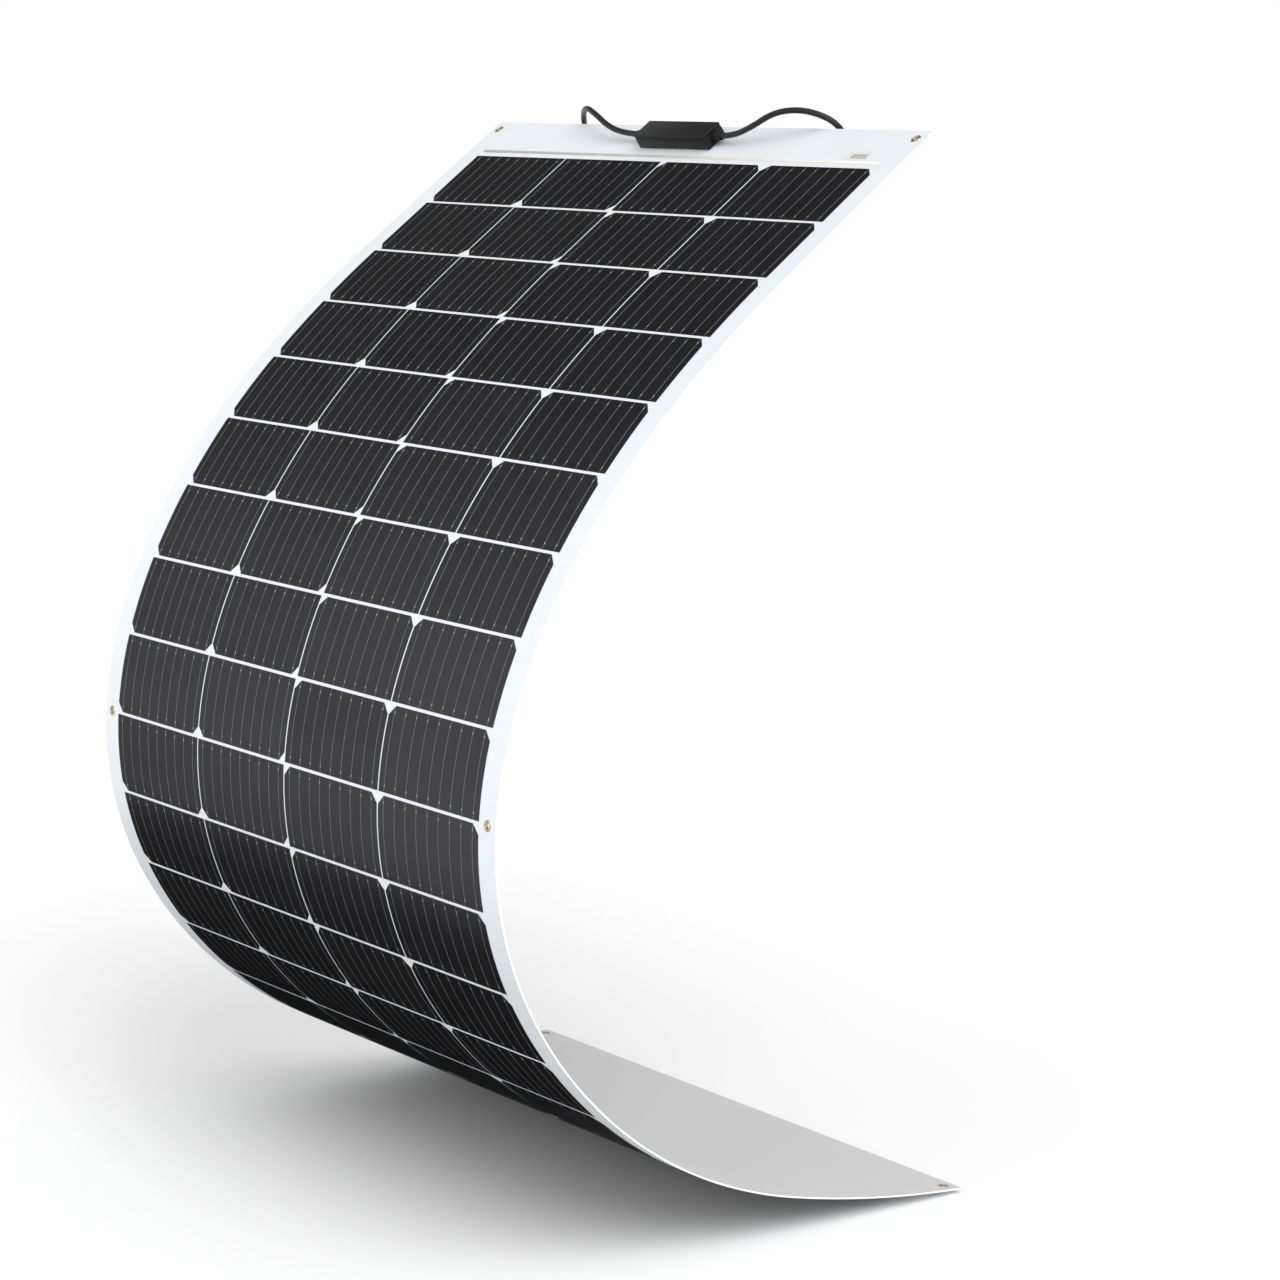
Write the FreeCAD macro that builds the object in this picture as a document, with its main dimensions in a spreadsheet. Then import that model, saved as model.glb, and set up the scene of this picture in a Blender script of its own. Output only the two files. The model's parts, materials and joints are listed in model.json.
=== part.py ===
import FreeCAD, Part
import math
import os

# A flexible solar sheet held at its top eyelets: a white laminated board with 72 half cells on its
# outer face, curved like a wave, with a slim junction box on the top margin.
# Frame: +X across the sheet, +Z up, the cells face -Y at mid height. The origin is the midpoint of the
# two top eyelets on the board's back face. "Down the sheet" runs from the top edge to the bottom end.

doc = FreeCAD.newDocument("flexible_solar_sheet")
sheet = doc.addObject("Spreadsheet::Sheet", "dims")

DIMS = {
    # the board and its grid of cells
    "colPitch": 160.75, "rowPitch": 82.4, "cellWide": 158.75, "cellTall": 79.4, "cellCorner": 9.0,
    "topMargin": 58.0, "endMargin": 54.0, "boardFront": 0.7, "boardBack": 1.0,
    "cellThick": 0.3, "flexGap": 1.0, "boardWide": 693.0, "topLean": 144.0,
    # how far each length of the sheet turns, top to bottom, in degrees
    "turn02": 7.5, "turn03": 12.5, "turn04": 7.5, "turn05": 9.5, "turn06": 12.5, "turn07": 15.0,
    "turn08": 14.5, "turn09": 12.0, "turn10": 10.5, "turn11": 10.0, "turn12": 9.5, "turn13": 8.5,
    "turn14": 9.5,
    # eyelets and their washers
    "eyeInset": 13.0, "eyeHole": 3.2, "eyeBore": 2.75, "eyeFlange": 5.25, "flangeThick": 0.5,
    "washerOuter": 5.5, "washerThick": 0.5, "washerClear": 0.08, "lipOuter": 4.3, "lipThick": 0.4,
    "tabReach": 8.0, "tabWide": 24.5, "tabGap": 0.8, "drillLong": 10.0,
    # bus ribbons and the rating label
    "ribbonWide": 4.0, "ribbonLong": 636.0, "ribbonThick": 0.2, "ribbonGap": 5.0,
    "labelLong": 34.0, "labelTall": 13.0, "labelThick": 0.15, "labelFrom": 262.0, "labelGap": 2.0,
    # junction box
    "boxLong": 112.0, "boxWide": 26.0, "boxTall": 13.0, "boxWall": 2.0, "boxDown": 26.0,
    "lidTall": 3.2, "padThick": 0.8, "padInset": 1.5, "boxRound": 2.0, "lidStep": 1.5,
    "lidPlay": 0.2, "pottingTall": 2.0, "cableUp": 8.0, "diodeRadius": 2.4, "diodeLong": 9.0,
    "diodeApart": 14.0, "leadRadius": 0.6, "leadReach": 4.0, "plateLong": 10.0, "plateWide": 12.0,
    "plateThick": 0.8, "platePitch": 22.4,
    # cable outlets, cables, coils and connectors
    "cableRadius": 3.0, "outletBore": 3.2, "outletLong": 12.0, "outletWide": 5.6, "outletEnd": 4.0,
    "coilMid": 33.0, "coilBundle": 8.0, "coilGap": 0.3, "tieBore": 8.65, "tieOuter": 9.2, "tieWide": 5.0,
    "plugRadius": 7.5, "plugLong": 27.0, "noseRadius": 5.2, "noseLong": 16.0, "capRadius": 8.2,
    "capLong": 15.0, "capGrip": 10.0, "contactRadius": 2.0, "contactLong": 20.0, "contactDeep": 8.0,
    "socketRadius": 8.6, "cupDeep": 2.0, "contactPlay": 0.2, "cupPlay": 0.4,
}
for row, (alias, value) in enumerate(DIMS.items(), start=1):
    sheet.set(f"A{row}", alias)
    sheet.set(f"B{row}", str(value))
    sheet.setAlias(f"B{row}", alias)
doc.recompute()

D = DIMS
COLUMNS = 4
ROWS_IN_LENGTH = [2, 2, 2, 1, 1, 1, 1, 1, 1, 1, 1, 1, 1, 2]
LENGTHS = len(ROWS_IN_LENGTH)
EYE_LENGTH = 6                      # the length that carries the middle eyelets at its lower end
X_AXIS = FreeCAD.Vector(1, 0, 0)
PIECES = []


def keep(thing, label):
    """Name a finished piece; its label becomes its file name."""
    thing.Label = label
    PIECES.append(thing)
    return thing


def bind(thing, **sizes):
    """Tie sizes of a primitive to cells of the sheet; a number stays a number."""
    for name, value in sizes.items():
        thing.setExpression(name, value)
    return thing


def box(name, length, width, height, place):
    solid = doc.addObject("Part::Box", name)
    bind(solid, Length=length, Width=width, Height=height)
    solid.Placement = place
    return solid


def cylinder(name, radius, height, place, angle=None):
    solid = doc.addObject("Part::Cylinder", name)
    bind(solid, Radius=radius, Height=height)
    if angle:
        solid.setExpression("Angle", angle)
    solid.Placement = place
    return solid


def cut(name, base, tool):
    result = doc.addObject("Part::Cut", name)
    result.Base = base
    result.Tool = tool
    return result


def fuse(name, parts):
    result = doc.addObject("Part::MultiFuse", name)
    result.Shapes = parts
    result.Refine = True
    return result


def group(name, parts):
    result = doc.addObject("Part::Compound", name)
    result.Links = parts
    return result


def at(x, y, z, rotation=FreeCAD.Rotation()):
    return FreeCAD.Placement(FreeCAD.Vector(x, y, z), rotation)


# ---- the curve of the sheet: one flat length at the top, then arcs that follow each other smoothly ----

def unit(angle):
    """Unit vector in the YZ plane, angle in degrees from +Y towards +Z."""
    return FreeCAD.Vector(0, math.cos(math.radians(angle)), math.sin(math.radians(angle)))


class Length:
    """One stretch of the sheet: where it starts, which way it runs and how far it turns."""

    def __init__(self, number, start, heading, long, turn):
        self.number = number
        self.start = start
        self.heading = heading
        self.long = long
        self.turn = turn
        self.radius = long / math.radians(turn) if turn else None
        self.centre = start + unit(heading + 90) * self.radius if turn else None

    def heading_at(self, along):
        return self.heading + self.turn * along / self.long

    def point(self, along, out=0.0):
        """A point of the curve, moved out of the front face by out."""
        front = unit(self.heading_at(along) - 90)
        if self.turn:
            return self.centre + front * (self.radius + out)
        return self.start + unit(self.heading) * along + front * out


def make_lengths():
    heading = -D["topLean"]
    origin = unit(heading) * D["eyeInset"] - unit(heading - 90) * D["boardBack"]
    start = FreeCAD.Vector(0, 0, 0) - origin
    lengths = []
    for number, rows in enumerate(ROWS_IN_LENGTH, start=1):
        long = rows * D["rowPitch"]
        if number == 1:
            long += D["topMargin"]
        if number == LENGTHS:
            long += D["endMargin"]
        turn = D.get(f"turn{number:02d}", 0.0)
        lengths.append(Length(number, start, heading, long, turn))
        start = lengths[-1].point(long)
        heading += turn
    return lengths


LENGTH = make_lengths()
TOP = LENGTH[0]
LAST = LENGTH[-1]


def front_place(length, x, along, out, turned=FreeCAD.Rotation()):
    """A place on a length: x across, along it, out of the front face. Unless turned, its local X is +X,
    its local Y runs up the sheet and its local Z points out of the front face."""
    tilt = FreeCAD.Rotation(X_AXIS, length.heading_at(along) - 180)
    return FreeCAD.Placement(length.point(along, out) + X_AXIS * x, tilt.multiply(turned))


def flat_place(x, down, out, turned=FreeCAD.Rotation()):
    """A place on the flat top length, where the junction box sits."""
    return front_place(TOP, x, down, out, turned)


def sector(name, length, x, wide, low, high, begin, finish):
    """A curved plate: the stretch begin..finish of a length, between two heights off its middle layer."""
    start_angle = length.heading - 90 + math.degrees(begin / length.radius)
    sweep = math.degrees((finish - begin) / length.radius)
    upright = FreeCAD.Rotation(X_AXIS, start_angle)
    place = FreeCAD.Placement(
        length.centre + X_AXIS * x, upright.multiply(FreeCAD.Rotation(FreeCAD.Vector(1, 1, 1), 120)))
    outer = cylinder(f"{name}_outer", f"{length.radius} + {high}", wide, place, f"{sweep}")
    inner = cylinder(f"{name}_inner", f"{length.radius} + {low}", wide, place)
    return cut(name, outer, inner)


def flat_plate(name, x, wide, low, high, begin, finish):
    """A flat plate on the top length, between two heights off its middle layer."""
    place = flat_place(x, finish, low)
    return box(name, wide, f"{finish} - {begin}", f"{high} - {low}", place)


# ---- the laminated board ----

def eye_positions():
    """The eyelets' own places: which length, how far along it."""
    return {
        "top": (TOP, D["eyeInset"]),
        "middle": (LENGTH[EYE_LENGTH - 1], LENGTH[EYE_LENGTH - 1].long),
        "bottom": (LAST, LAST.long - D["eyeInset"]),
    }


EYE_X = D["boardWide"] / 2 - D["eyeInset"]


def eye_holes(length, along):
    drills = []
    for side in (-1, 1):
        place = front_place(length, side * EYE_X, along, -D["drillLong"] / 2)
        drills.append(cylinder(f"drill_{length.number}_{side + 1}", "dims.eyeHole", "dims.drillLong", place))
    return group(f"drills_{length.number}", drills)


def board(length):
    name = f"board_{length.number:02d}"
    low, high = -D["boardBack"], D["boardFront"]
    gap = D["flexGap"] / 2
    begin = 0 if length is TOP else gap
    finish = length.long if length is LAST else length.long - gap
    left = -D["boardWide"] / 2
    if length is TOP:
        plate = flat_plate(name, left, "dims.boardWide", low, high, begin, finish)
    else:
        plate = sector(name, length, left, "dims.boardWide", low, high, begin, finish)
    if length.number == EYE_LENGTH:
        tabs = [sector(f"tab_{side}", length, x, "dims.tabWide", low, high, begin, length.long + D["tabReach"])
                for side, x in (("left", left), ("right", -left - D["tabWide"]))]
        plate = fuse(f"{name}_tabs", [plate] + tabs)
    if length.number == EYE_LENGTH + 1:
        clear = D["tabWide"] + D["tabGap"]
        end = D["tabReach"] + D["tabGap"]
        past = 5                       # the notch tool runs this far past the board's edge
        notches = [sector(f"notch_{side}", length, x, f"{clear + past}", 2 * low, 2 * high, -past, end)
                   for side, x in (("left", left - past), ("right", -left - clear))]
        plate = cut(f"{name}_notched", plate, group("notches", notches))
    for place, (eye_length, along) in eye_positions().items():
        if eye_length is length:
            plate = cut(f"{name}_drilled", plate, eye_holes(length, along))
    return keep(plate, f"sheet_{length.number:02d}")


# ---- the cells: half cells with two cropped corners each ----

PRISM_HALF = 20                     # the trimming prism reaches this far to both sides of the board


def cell_outline(x, crop_low):
    """Prism that trims one half cell: two corners are cropped, on its lower or its upper long edge."""
    half_x, half_y, crop = D["cellWide"] / 2, D["cellTall"] / 2, D["cellCorner"]
    side = -1 if crop_low else 1
    points = [(-half_x, -side * half_y), (half_x, -side * half_y), (half_x, side * (half_y - crop)),
              (half_x - crop, side * half_y), (-half_x + crop, side * half_y), (-half_x, side * (half_y - crop))]
    loop = [FreeCAD.Vector(x + a, b, -PRISM_HALF) for a, b in points]
    face = Part.Face(Part.makePolygon(loop + loop[:1]))
    return face.extrude(FreeCAD.Vector(0, 0, 2 * PRISM_HALF))


def cells(length):
    """All half cells of one length, cut from a thin curved layer on the front of the board."""
    rows = ROWS_IN_LENGTH[length.number - 1]
    first = D["topMargin"] if length is TOP else 0.0
    low, high = D["boardFront"], D["boardFront"] + D["cellThick"]
    wide = COLUMNS * D["colPitch"]
    name = f"layer_{length.number:02d}"
    if length is TOP:
        layer = flat_plate(name, -wide / 2, f"{wide}", low, high, first, first + rows * D["rowPitch"])
    else:
        layer = sector(name, length, -wide / 2, f"{wide}", low, high, first, first + rows * D["rowPitch"])
    prisms = []
    for row in range(rows):
        along = first + (row + 0.5) * D["rowPitch"]
        place = front_place(length, 0, along, 0)
        for column in range(COLUMNS):
            prism = cell_outline((column - 1.5) * D["colPitch"], crop_low=column < COLUMNS / 2)
            prism.Placement = place.multiply(prism.Placement)
            prisms.append(prism)
    trim = doc.addObject("Part::Feature", f"trim_{length.number:02d}")
    trim.Shape = Part.makeCompound(prisms)
    both = doc.addObject("Part::Common", f"cells_{length.number:02d}")
    both.Base = layer
    both.Tool = trim
    return keep(both, f"cells_{length.number:02d}")


# ---- ribbons and label ----

def ribbons_and_label():
    low = D["boardFront"]
    high = low + D["ribbonThick"]
    near = D["ribbonGap"]
    broad = D["ribbonWide"]
    left = -D["ribbonLong"] / 2
    upper = flat_plate("upper_ribbon", left, "dims.ribbonLong", low, high,
                       D["topMargin"] - near - broad, D["topMargin"] - near)
    keep(upper, "bus_ribbon_top")
    cells_end = 2 * D["rowPitch"]
    lower = sector("lower_ribbon", LAST, left, "dims.ribbonLong", low, high, cells_end + near, cells_end + near + broad)
    keep(lower, "bus_ribbon_bottom")
    label_down = D["topMargin"] - near - broad - D["labelGap"]
    label = flat_plate("label", D["labelFrom"], "dims.labelLong", low, low + D["labelThick"],
                       label_down - D["labelTall"], label_down)
    keep(label, "rating_label")


# ---- eyelets and washers ----

def ring(name, outer, inner, thick, place):
    rim = cylinder(f"{name}_rim", outer, thick, place)
    hole = cylinder(f"{name}_hole", inner, thick, place)
    return cut(name, rim, hole)


def eyelets(which, length, along):
    """A brass eyelet on each side: a flange on the front, a barrel through the board, a rolled lip behind.
    The flat washer touches the curved board along one line, so it stands a hair off elsewhere."""
    rings = []
    washers = []
    front = D["boardFront"]
    back = -D["boardBack"] - (D["washerClear"] if length.turn else 0)
    for side in (-1, 1):
        tag = f"{which}_{side + 1}"
        x = side * EYE_X
        under = back - D["washerThick"]
        flange = ring(f"flange_{tag}", "dims.eyeFlange", "dims.eyeBore", "dims.flangeThick",
                      front_place(length, x, along, front))
        barrel = ring(f"barrel_{tag}", "dims.eyeHole - 0.05", "dims.eyeBore", f"{front - under}",
                      front_place(length, x, along, under))
        lip = ring(f"lip_{tag}", "dims.lipOuter", "dims.eyeBore", "dims.lipThick",
                   front_place(length, x, along, under - D["lipThick"]))
        rings.append(fuse(f"eyelet_{tag}", [flange, barrel, lip]))
        washers.append(ring(f"washer_{tag}", "dims.washerOuter", "dims.eyeHole", "dims.washerThick",
                            front_place(length, x, along, under)))
    keep(group(f"eyelet_pair_{which}", rings), f"eyelets_{which}")
    keep(group(f"washer_pair_{which}", washers), f"washers_{which}")


# ---- junction box on the top margin ----

def rounded(name, solid, radius):
    """Round the four edges of a box that stand out of the sheet."""
    doc.recompute()
    normal = unit(TOP.heading - 90)
    picked = []
    for number, edge in enumerate(solid.Shape.Edges, start=1):
        direction = edge.tangentAt(edge.FirstParameter)
        if abs(direction.dot(normal)) > 0.99:
            picked.append((number, radius, radius))
    assert len(picked) == 4, (name, len(picked))
    fillet = doc.addObject("Part::Fillet", name)
    fillet.Base = solid
    fillet.Edges = picked
    return fillet


def junction_box():
    front = D["boardFront"]
    down = D["boxDown"] + D["boxWide"] / 2
    left = -D["boxLong"] / 2
    floor = front + D["padThick"]
    wall = D["boxWall"]
    cable_up = front + D["cableUp"]

    pad = box("pad", "dims.boxLong - 2 * dims.padInset", "dims.boxWide - 2 * dims.padInset", "dims.padThick",
              flat_place(left + D["padInset"], down - D["padInset"], front))
    keep(pad, "adhesive_pad")

    block = box("base_block", "dims.boxLong", "dims.boxWide", "dims.boxTall - dims.padThick",
                flat_place(left, down, floor))
    block = rounded("base_rounded", block, D["boxRound"])
    hollow = box("base_hollow", "dims.boxLong - 2 * dims.boxWall", "dims.boxWide - 2 * dims.boxWall",
                 "dims.boxTall", flat_place(left + wall, down - wall, floor + wall))
    sideways = FreeCAD.Rotation(FreeCAD.Vector(0, 1, 0), 90)
    bore = cylinder("base_bore", "dims.outletBore", "dims.boxLong + 20",
                    flat_place(left - 10, D["boxDown"], cable_up, sideways))
    keep(cut("base_open", block, group("base_tools", [hollow, bore])), "box_base")

    top = front + D["boxTall"]
    plate = box("lid_plate", "dims.boxLong", "dims.boxWide", "dims.lidTall", flat_place(left, down, top))
    plate = rounded("lid_rounded", plate, D["boxRound"])
    inset = wall + D["lidPlay"]
    lip = box("lid_lip", f"dims.boxLong - 2 * {inset}", f"dims.boxWide - 2 * {inset}",
              "dims.lidStep", flat_place(left + inset, down - inset, top - D["lidStep"]))
    keep(fuse("lid", [plate, lip]), "box_lid")

    potting = box("potting", "dims.boxLong - 2 * dims.boxWall", "dims.boxWide - 2 * dims.boxWall",
                  "dims.pottingTall", flat_place(left + wall, down - wall, floor + wall))
    keep(potting, "box_potting")

    plate_up = floor + wall + D["pottingTall"]
    plates = []
    for number in range(4):
        x = (number - 1.5) * D["platePitch"] - D["plateLong"] / 2
        plates.append(box(f"terminal_{number}", "dims.plateLong", "dims.plateWide", "dims.plateThick",
                          flat_place(x, D["boxDown"] + D["plateWide"] / 2, plate_up)))
    keep(group("terminals", plates), "terminal_plates")

    diodes = []
    diode_up = plate_up + D["plateThick"] + D["diodeRadius"]
    for number, x in enumerate((-D["diodeApart"], D["diodeApart"])):
        body = cylinder(f"diode_body_{number}", "dims.diodeRadius", "dims.diodeLong",
                        flat_place(x - D["diodeLong"] / 2, D["boxDown"], diode_up, sideways))
        wire_from = x - D["diodeLong"] / 2 - D["leadReach"]
        wire = cylinder(f"diode_wire_{number}", "dims.leadRadius", "dims.diodeLong + 2 * dims.leadReach",
                        flat_place(wire_from, D["boxDown"], diode_up, sideways))
        diodes.append(fuse(f"diode_{number}", [body, wire]))
    keep(group("diodes", diodes), "bypass_diodes")


def outlet(side, word):
    """The nut on each end of the box that grips its cable, with a taper where the cable leaves."""
    axis = FreeCAD.Rotation(FreeCAD.Vector(0, 1, 0), 90 * side)
    up = D["boardFront"] + D["cableUp"]
    start = side * D["boxLong"] / 2
    nut = cylinder(f"outlet_nut_{word}", "dims.outletWide", "dims.outletLong * 0.5",
                   flat_place(start, D["boxDown"], up, axis))
    taper = doc.addObject("Part::Cone", f"outlet_taper_{word}")
    bind(taper, Radius1="dims.outletWide - 0.6", Radius2="dims.outletEnd", Height="dims.outletLong * 0.5")
    taper.Placement = flat_place(start + side * D["outletLong"] * 0.5, D["boxDown"], up, axis)
    hole = cylinder(f"outlet_hole_{word}", "dims.outletBore", "dims.outletLong",
                    flat_place(start, D["boxDown"], up, axis))
    keep(cut(f"outlet_{word}", fuse(f"outlet_body_{word}", [nut, taper]), hole), f"cable_outlet_{word}")


# ---- cables, coils and connectors ----

def route_tube(points, radius):
    """A round tube along straight runs joined by tangent arcs; also gives its length and tightest bend."""
    edges = []
    start = points[0]
    tightest = None
    for before, corner, after in zip(points, points[1:], points[2:]):
        into, out = corner - before, after - corner
        turn = into.getAngle(out)
        setback = 0.45 * min(into.Length, out.Length)
        bend = setback / math.tan(turn / 2)
        tightest = bend if tightest is None else min(tightest, bend)
        inward, outward = FreeCAD.Vector(into).normalize(), FreeCAD.Vector(out).normalize()
        first, last = corner - inward * setback, corner + outward * setback
        middle_way = FreeCAD.Vector(outward - inward).normalize()
        middle = corner + middle_way * (bend / math.cos(turn / 2) - bend)
        edges.append(Part.makeLine(start, first))
        edges.append(Part.Arc(first, middle, last).toShape())
        start = last
    edges.append(Part.makeLine(start, points[-1]))
    path = Part.Wire(edges)
    heading = (points[1] - points[0]).normalize()
    profile = Part.Wire([Part.makeCircle(radius, points[0], heading)])
    tube = path.makePipeShell([profile], True, True)
    expected = math.pi * radius ** 2 * path.Length
    assert abs(tube.Volume - expected) < 0.01 * expected, (tube.Volume, expected)
    print(f"tube {path.Length:.0f} mm long, tightest bend {tightest:.1f} mm")
    return tube


def local(x, down, out):
    """A point over the flat top length."""
    return TOP.point(down, out) + X_AXIS * x


EXIT_UP = D["boardFront"] + D["cableUp"]
COIL_Y = 47.0
# centre of each coil, and the hand-chosen route from inside the box, over the top edge and down to its coil
COIL = {"left": FreeCAD.Vector(-142, COIL_Y, -102), "right": FreeCAD.Vector(34, COIL_Y, -102)}
ROUTE = {
    "left": [local(-54, 26, EXIT_UP), local(-82, 26, EXIT_UP), local(-116, 22, 13), local(-146, 11, 23),
             local(-172, 1, 24), local(-202, -8, 4), FreeCAD.Vector(-214, 31, -22),
             FreeCAD.Vector(-207, 42, -50), FreeCAD.Vector(-182, COIL_Y, -65),
             FreeCAD.Vector(-150, COIL_Y, -57.7)],
    "right": [local(54, 26, EXIT_UP), local(82, 26, EXIT_UP), local(114, 22, 17), local(150, 11, 29),
              local(184, 0, 23), local(208, -10, -3), FreeCAD.Vector(208, 40, -33),
              FreeCAD.Vector(184, 46, -54), FreeCAD.Vector(148, COIL_Y, -62), FreeCAD.Vector(110, COIL_Y, -63),
              FreeCAD.Vector(74, COIL_Y, -60), FreeCAD.Vector(42, COIL_Y, -57.7)],
}
INWARD = {"left": 1, "right": -1}          # the way each cable winds along X at the top of its coil
TAIL_END = -142.0


def cable(word):
    """The cable from the box to its coil, and its short tail from the coil down to the connector."""
    radius = D["cableRadius"]
    lead = route_tube(ROUTE[word], radius)
    reach = D["coilMid"] + D["coilBundle"] + radius + D["coilGap"]
    tail_x = COIL[word].x + INWARD[word] * reach
    tail = Part.makeCylinder(radius, COIL[word].z - TAIL_END, FreeCAD.Vector(tail_x, COIL_Y, TAIL_END),
                             FreeCAD.Vector(0, 0, 1))
    both = doc.addObject("Part::Feature", f"tubes_{word}")
    both.Shape = Part.makeCompound([lead, tail])
    keep(both, f"cable_{word}")

    facing = FreeCAD.Rotation(X_AXIS, 90)
    coil = doc.addObject("Part::Torus", f"coil_{word}")
    bind(coil, Radius1="dims.coilMid", Radius2="dims.coilBundle")
    coil.Placement = FreeCAD.Placement(COIL[word], facing)
    keep(coil, f"cable_coil_{word}")

    # the tie sits at the bottom of the coil, around the bundle
    middle = COIL[word] - FreeCAD.Vector(D["tieWide"] / 2, 0, D["coilMid"])
    tie = ring(f"tie_{word}", "dims.tieOuter", "dims.tieBore", "dims.tieWide",
               FreeCAD.Placement(middle, FreeCAD.Rotation(FreeCAD.Vector(0, 1, 0), 90)))
    keep(tie, f"coil_tie_{word}")
    return tail_x


def connector(word, x):
    """A solar connector hanging on its cable: a cap nut, a body, and a pin or a socket nose."""
    down = FreeCAD.Rotation(X_AXIS, 180)
    cap_top = TAIL_END + D["capGrip"]
    cap = ring(f"cap_{word}", "dims.capRadius", "dims.outletBore", "dims.capLong",
               at(x, COIL_Y, cap_top, down))
    keep(cap, f"connector_cap_{word}")
    body_top = cap_top - D["capLong"]
    shell = cylinder(f"shell_{word}", "dims.plugRadius", "dims.plugLong", at(x, COIL_Y, body_top, down))
    nose_radius = "dims.noseRadius" if word == "left" else "dims.socketRadius"
    nose = cylinder(f"nose_{word}", nose_radius, "dims.noseLong", at(x, COIL_Y, body_top - D["plugLong"], down))
    solid = fuse(f"connector_solid_{word}", [shell, nose])
    # the left nose is slim and holds the socket contact; the right one is a wide cup around its pin
    cup_radius = "dims.contactRadius + dims.contactPlay" if word == "left" else "dims.noseRadius + dims.cupPlay"
    nose_top = body_top - D["plugLong"]
    cup = cylinder(f"cup_{word}", cup_radius, "dims.noseLong + dims.cupDeep",
                   at(x, COIL_Y, nose_top + D["cupDeep"], down))
    bore = cylinder(f"bore_{word}", "dims.contactRadius + dims.contactPlay", "dims.contactLong",
                    at(x, COIL_Y, nose_top + 2 * D["contactDeep"], down))
    keep(cut(f"connector_{word}", solid, group(f"connector_tools_{word}", [cup, bore])), f"connector_body_{word}")
    pin = cylinder(f"pin_{word}", "dims.contactRadius", "dims.contactLong",
                   at(x, COIL_Y, nose_top + D["contactDeep"], down))
    keep(pin, f"connector_contact_{word}")


for stretch in LENGTH:
    board(stretch)
    cells(stretch)
ribbons_and_label()
for word, (stretch, along) in eye_positions().items():
    eyelets(word, stretch, along)
junction_box()
for side, word in ((-1, "left"), (1, "right")):
    outlet(side, word)
    connector(word, cable(word))

doc.recompute()
for thing in doc.Objects:
    assert "Invalid" not in thing.State and "Error" not in thing.State, (thing.Name, thing.State)
os.makedirs("parts", exist_ok=True)
for piece in PIECES:
    assert not piece.Shape.isNull() and piece.Shape.isValid(), piece.Label
    piece.Shape.exportStep(f"parts/{piece.Label}.step")
    print(piece.Label, len(piece.Shape.Solids), round(piece.Shape.Volume, 1))
print(len(PIECES), "pieces")
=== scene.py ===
# %% [markdown]
# # A flexible solar sheet, finished around its imported frame
# The frame holds the real object: a thin white board curved like a wave, its half cells, six brass
# eyelets, a slim junction box and two leads. The frame decides sizes and places. Here every piece gets
# its visible shape and its finish; pieces on the first and the last length are tied to that body of the frame.

# %% Load the frame and keep its box
import json
import math
import bmesh
import bpy
from mathutils import Matrix, Vector


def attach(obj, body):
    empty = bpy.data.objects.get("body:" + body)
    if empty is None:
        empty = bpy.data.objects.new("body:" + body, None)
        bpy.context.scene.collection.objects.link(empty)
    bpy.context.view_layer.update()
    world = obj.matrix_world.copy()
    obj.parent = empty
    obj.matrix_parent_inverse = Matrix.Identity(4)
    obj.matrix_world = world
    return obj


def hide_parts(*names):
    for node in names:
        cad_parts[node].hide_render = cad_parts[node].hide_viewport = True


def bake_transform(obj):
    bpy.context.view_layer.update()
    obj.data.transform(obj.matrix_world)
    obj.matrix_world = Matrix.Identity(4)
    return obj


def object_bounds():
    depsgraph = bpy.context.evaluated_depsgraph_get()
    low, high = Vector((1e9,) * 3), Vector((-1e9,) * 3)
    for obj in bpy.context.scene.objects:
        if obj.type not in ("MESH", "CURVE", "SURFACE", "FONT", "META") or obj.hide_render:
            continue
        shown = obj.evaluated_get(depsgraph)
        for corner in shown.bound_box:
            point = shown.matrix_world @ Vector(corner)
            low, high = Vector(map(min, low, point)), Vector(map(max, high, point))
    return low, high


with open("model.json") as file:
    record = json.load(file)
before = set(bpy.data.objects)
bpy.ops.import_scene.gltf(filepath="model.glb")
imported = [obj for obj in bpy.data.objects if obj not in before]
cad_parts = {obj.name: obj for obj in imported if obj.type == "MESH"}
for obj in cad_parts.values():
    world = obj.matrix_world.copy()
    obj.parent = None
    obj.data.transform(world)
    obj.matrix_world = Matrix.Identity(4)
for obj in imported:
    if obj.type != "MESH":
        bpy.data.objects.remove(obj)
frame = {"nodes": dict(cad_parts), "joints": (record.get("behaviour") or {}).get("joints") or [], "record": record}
cad_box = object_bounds()
record = frame["record"]

# %% [markdown]
# ## The camera
# The camera stands to the right, level with the top of the sheet, and looks slightly down. A long lens
# keeps far and near rows close in size, which is how a catalogue shows a product like this.

# %% Camera
CAMERA_PLACE = Vector((2.6222, -2.0949, 0.0605))
CAMERA_LOOKS = Vector((-0.77953, 0.60314, -0.169))
CAMERA_LENS_MM = 92.8

camera_data = bpy.data.cameras.new("view_camera")
camera_data.lens = CAMERA_LENS_MM
camera = bpy.data.objects.new("view_camera", camera_data)
camera.location = CAMERA_PLACE
camera.rotation_mode = "QUATERNION"
camera.rotation_quaternion = CAMERA_LOOKS.to_track_quat("-Z", "Y")
bpy.context.scene.collection.objects.link(camera)
bpy.context.scene.camera = camera
print("camera stands", round(CAMERA_PLACE.length, 2), "m from the top eyelets")

# %% [markdown]
# ## The curve of the sheet
# Seen from the side the sheet is a chain of arcs, each one tangent to the next. The frame's hinges lie
# on that curve, so two hinges and the direction at the first give each arc. A point on the sheet is
# then named by how far it is down the sheet and how far out of the front face, which is far simpler
# than working in Y and Z.

# %% Rebuild the chain of arcs from the hinges
BOARD_WIDE = 0.693
BOARD_FRONT = 0.0007
BOARD_BACK = 0.001
EYE_INSET = 0.013
QUARTER = math.pi / 2
STRAIGHT_TURN = 0.001


def unit(angle):
    return Vector((0, math.cos(angle), math.sin(angle)))


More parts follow.
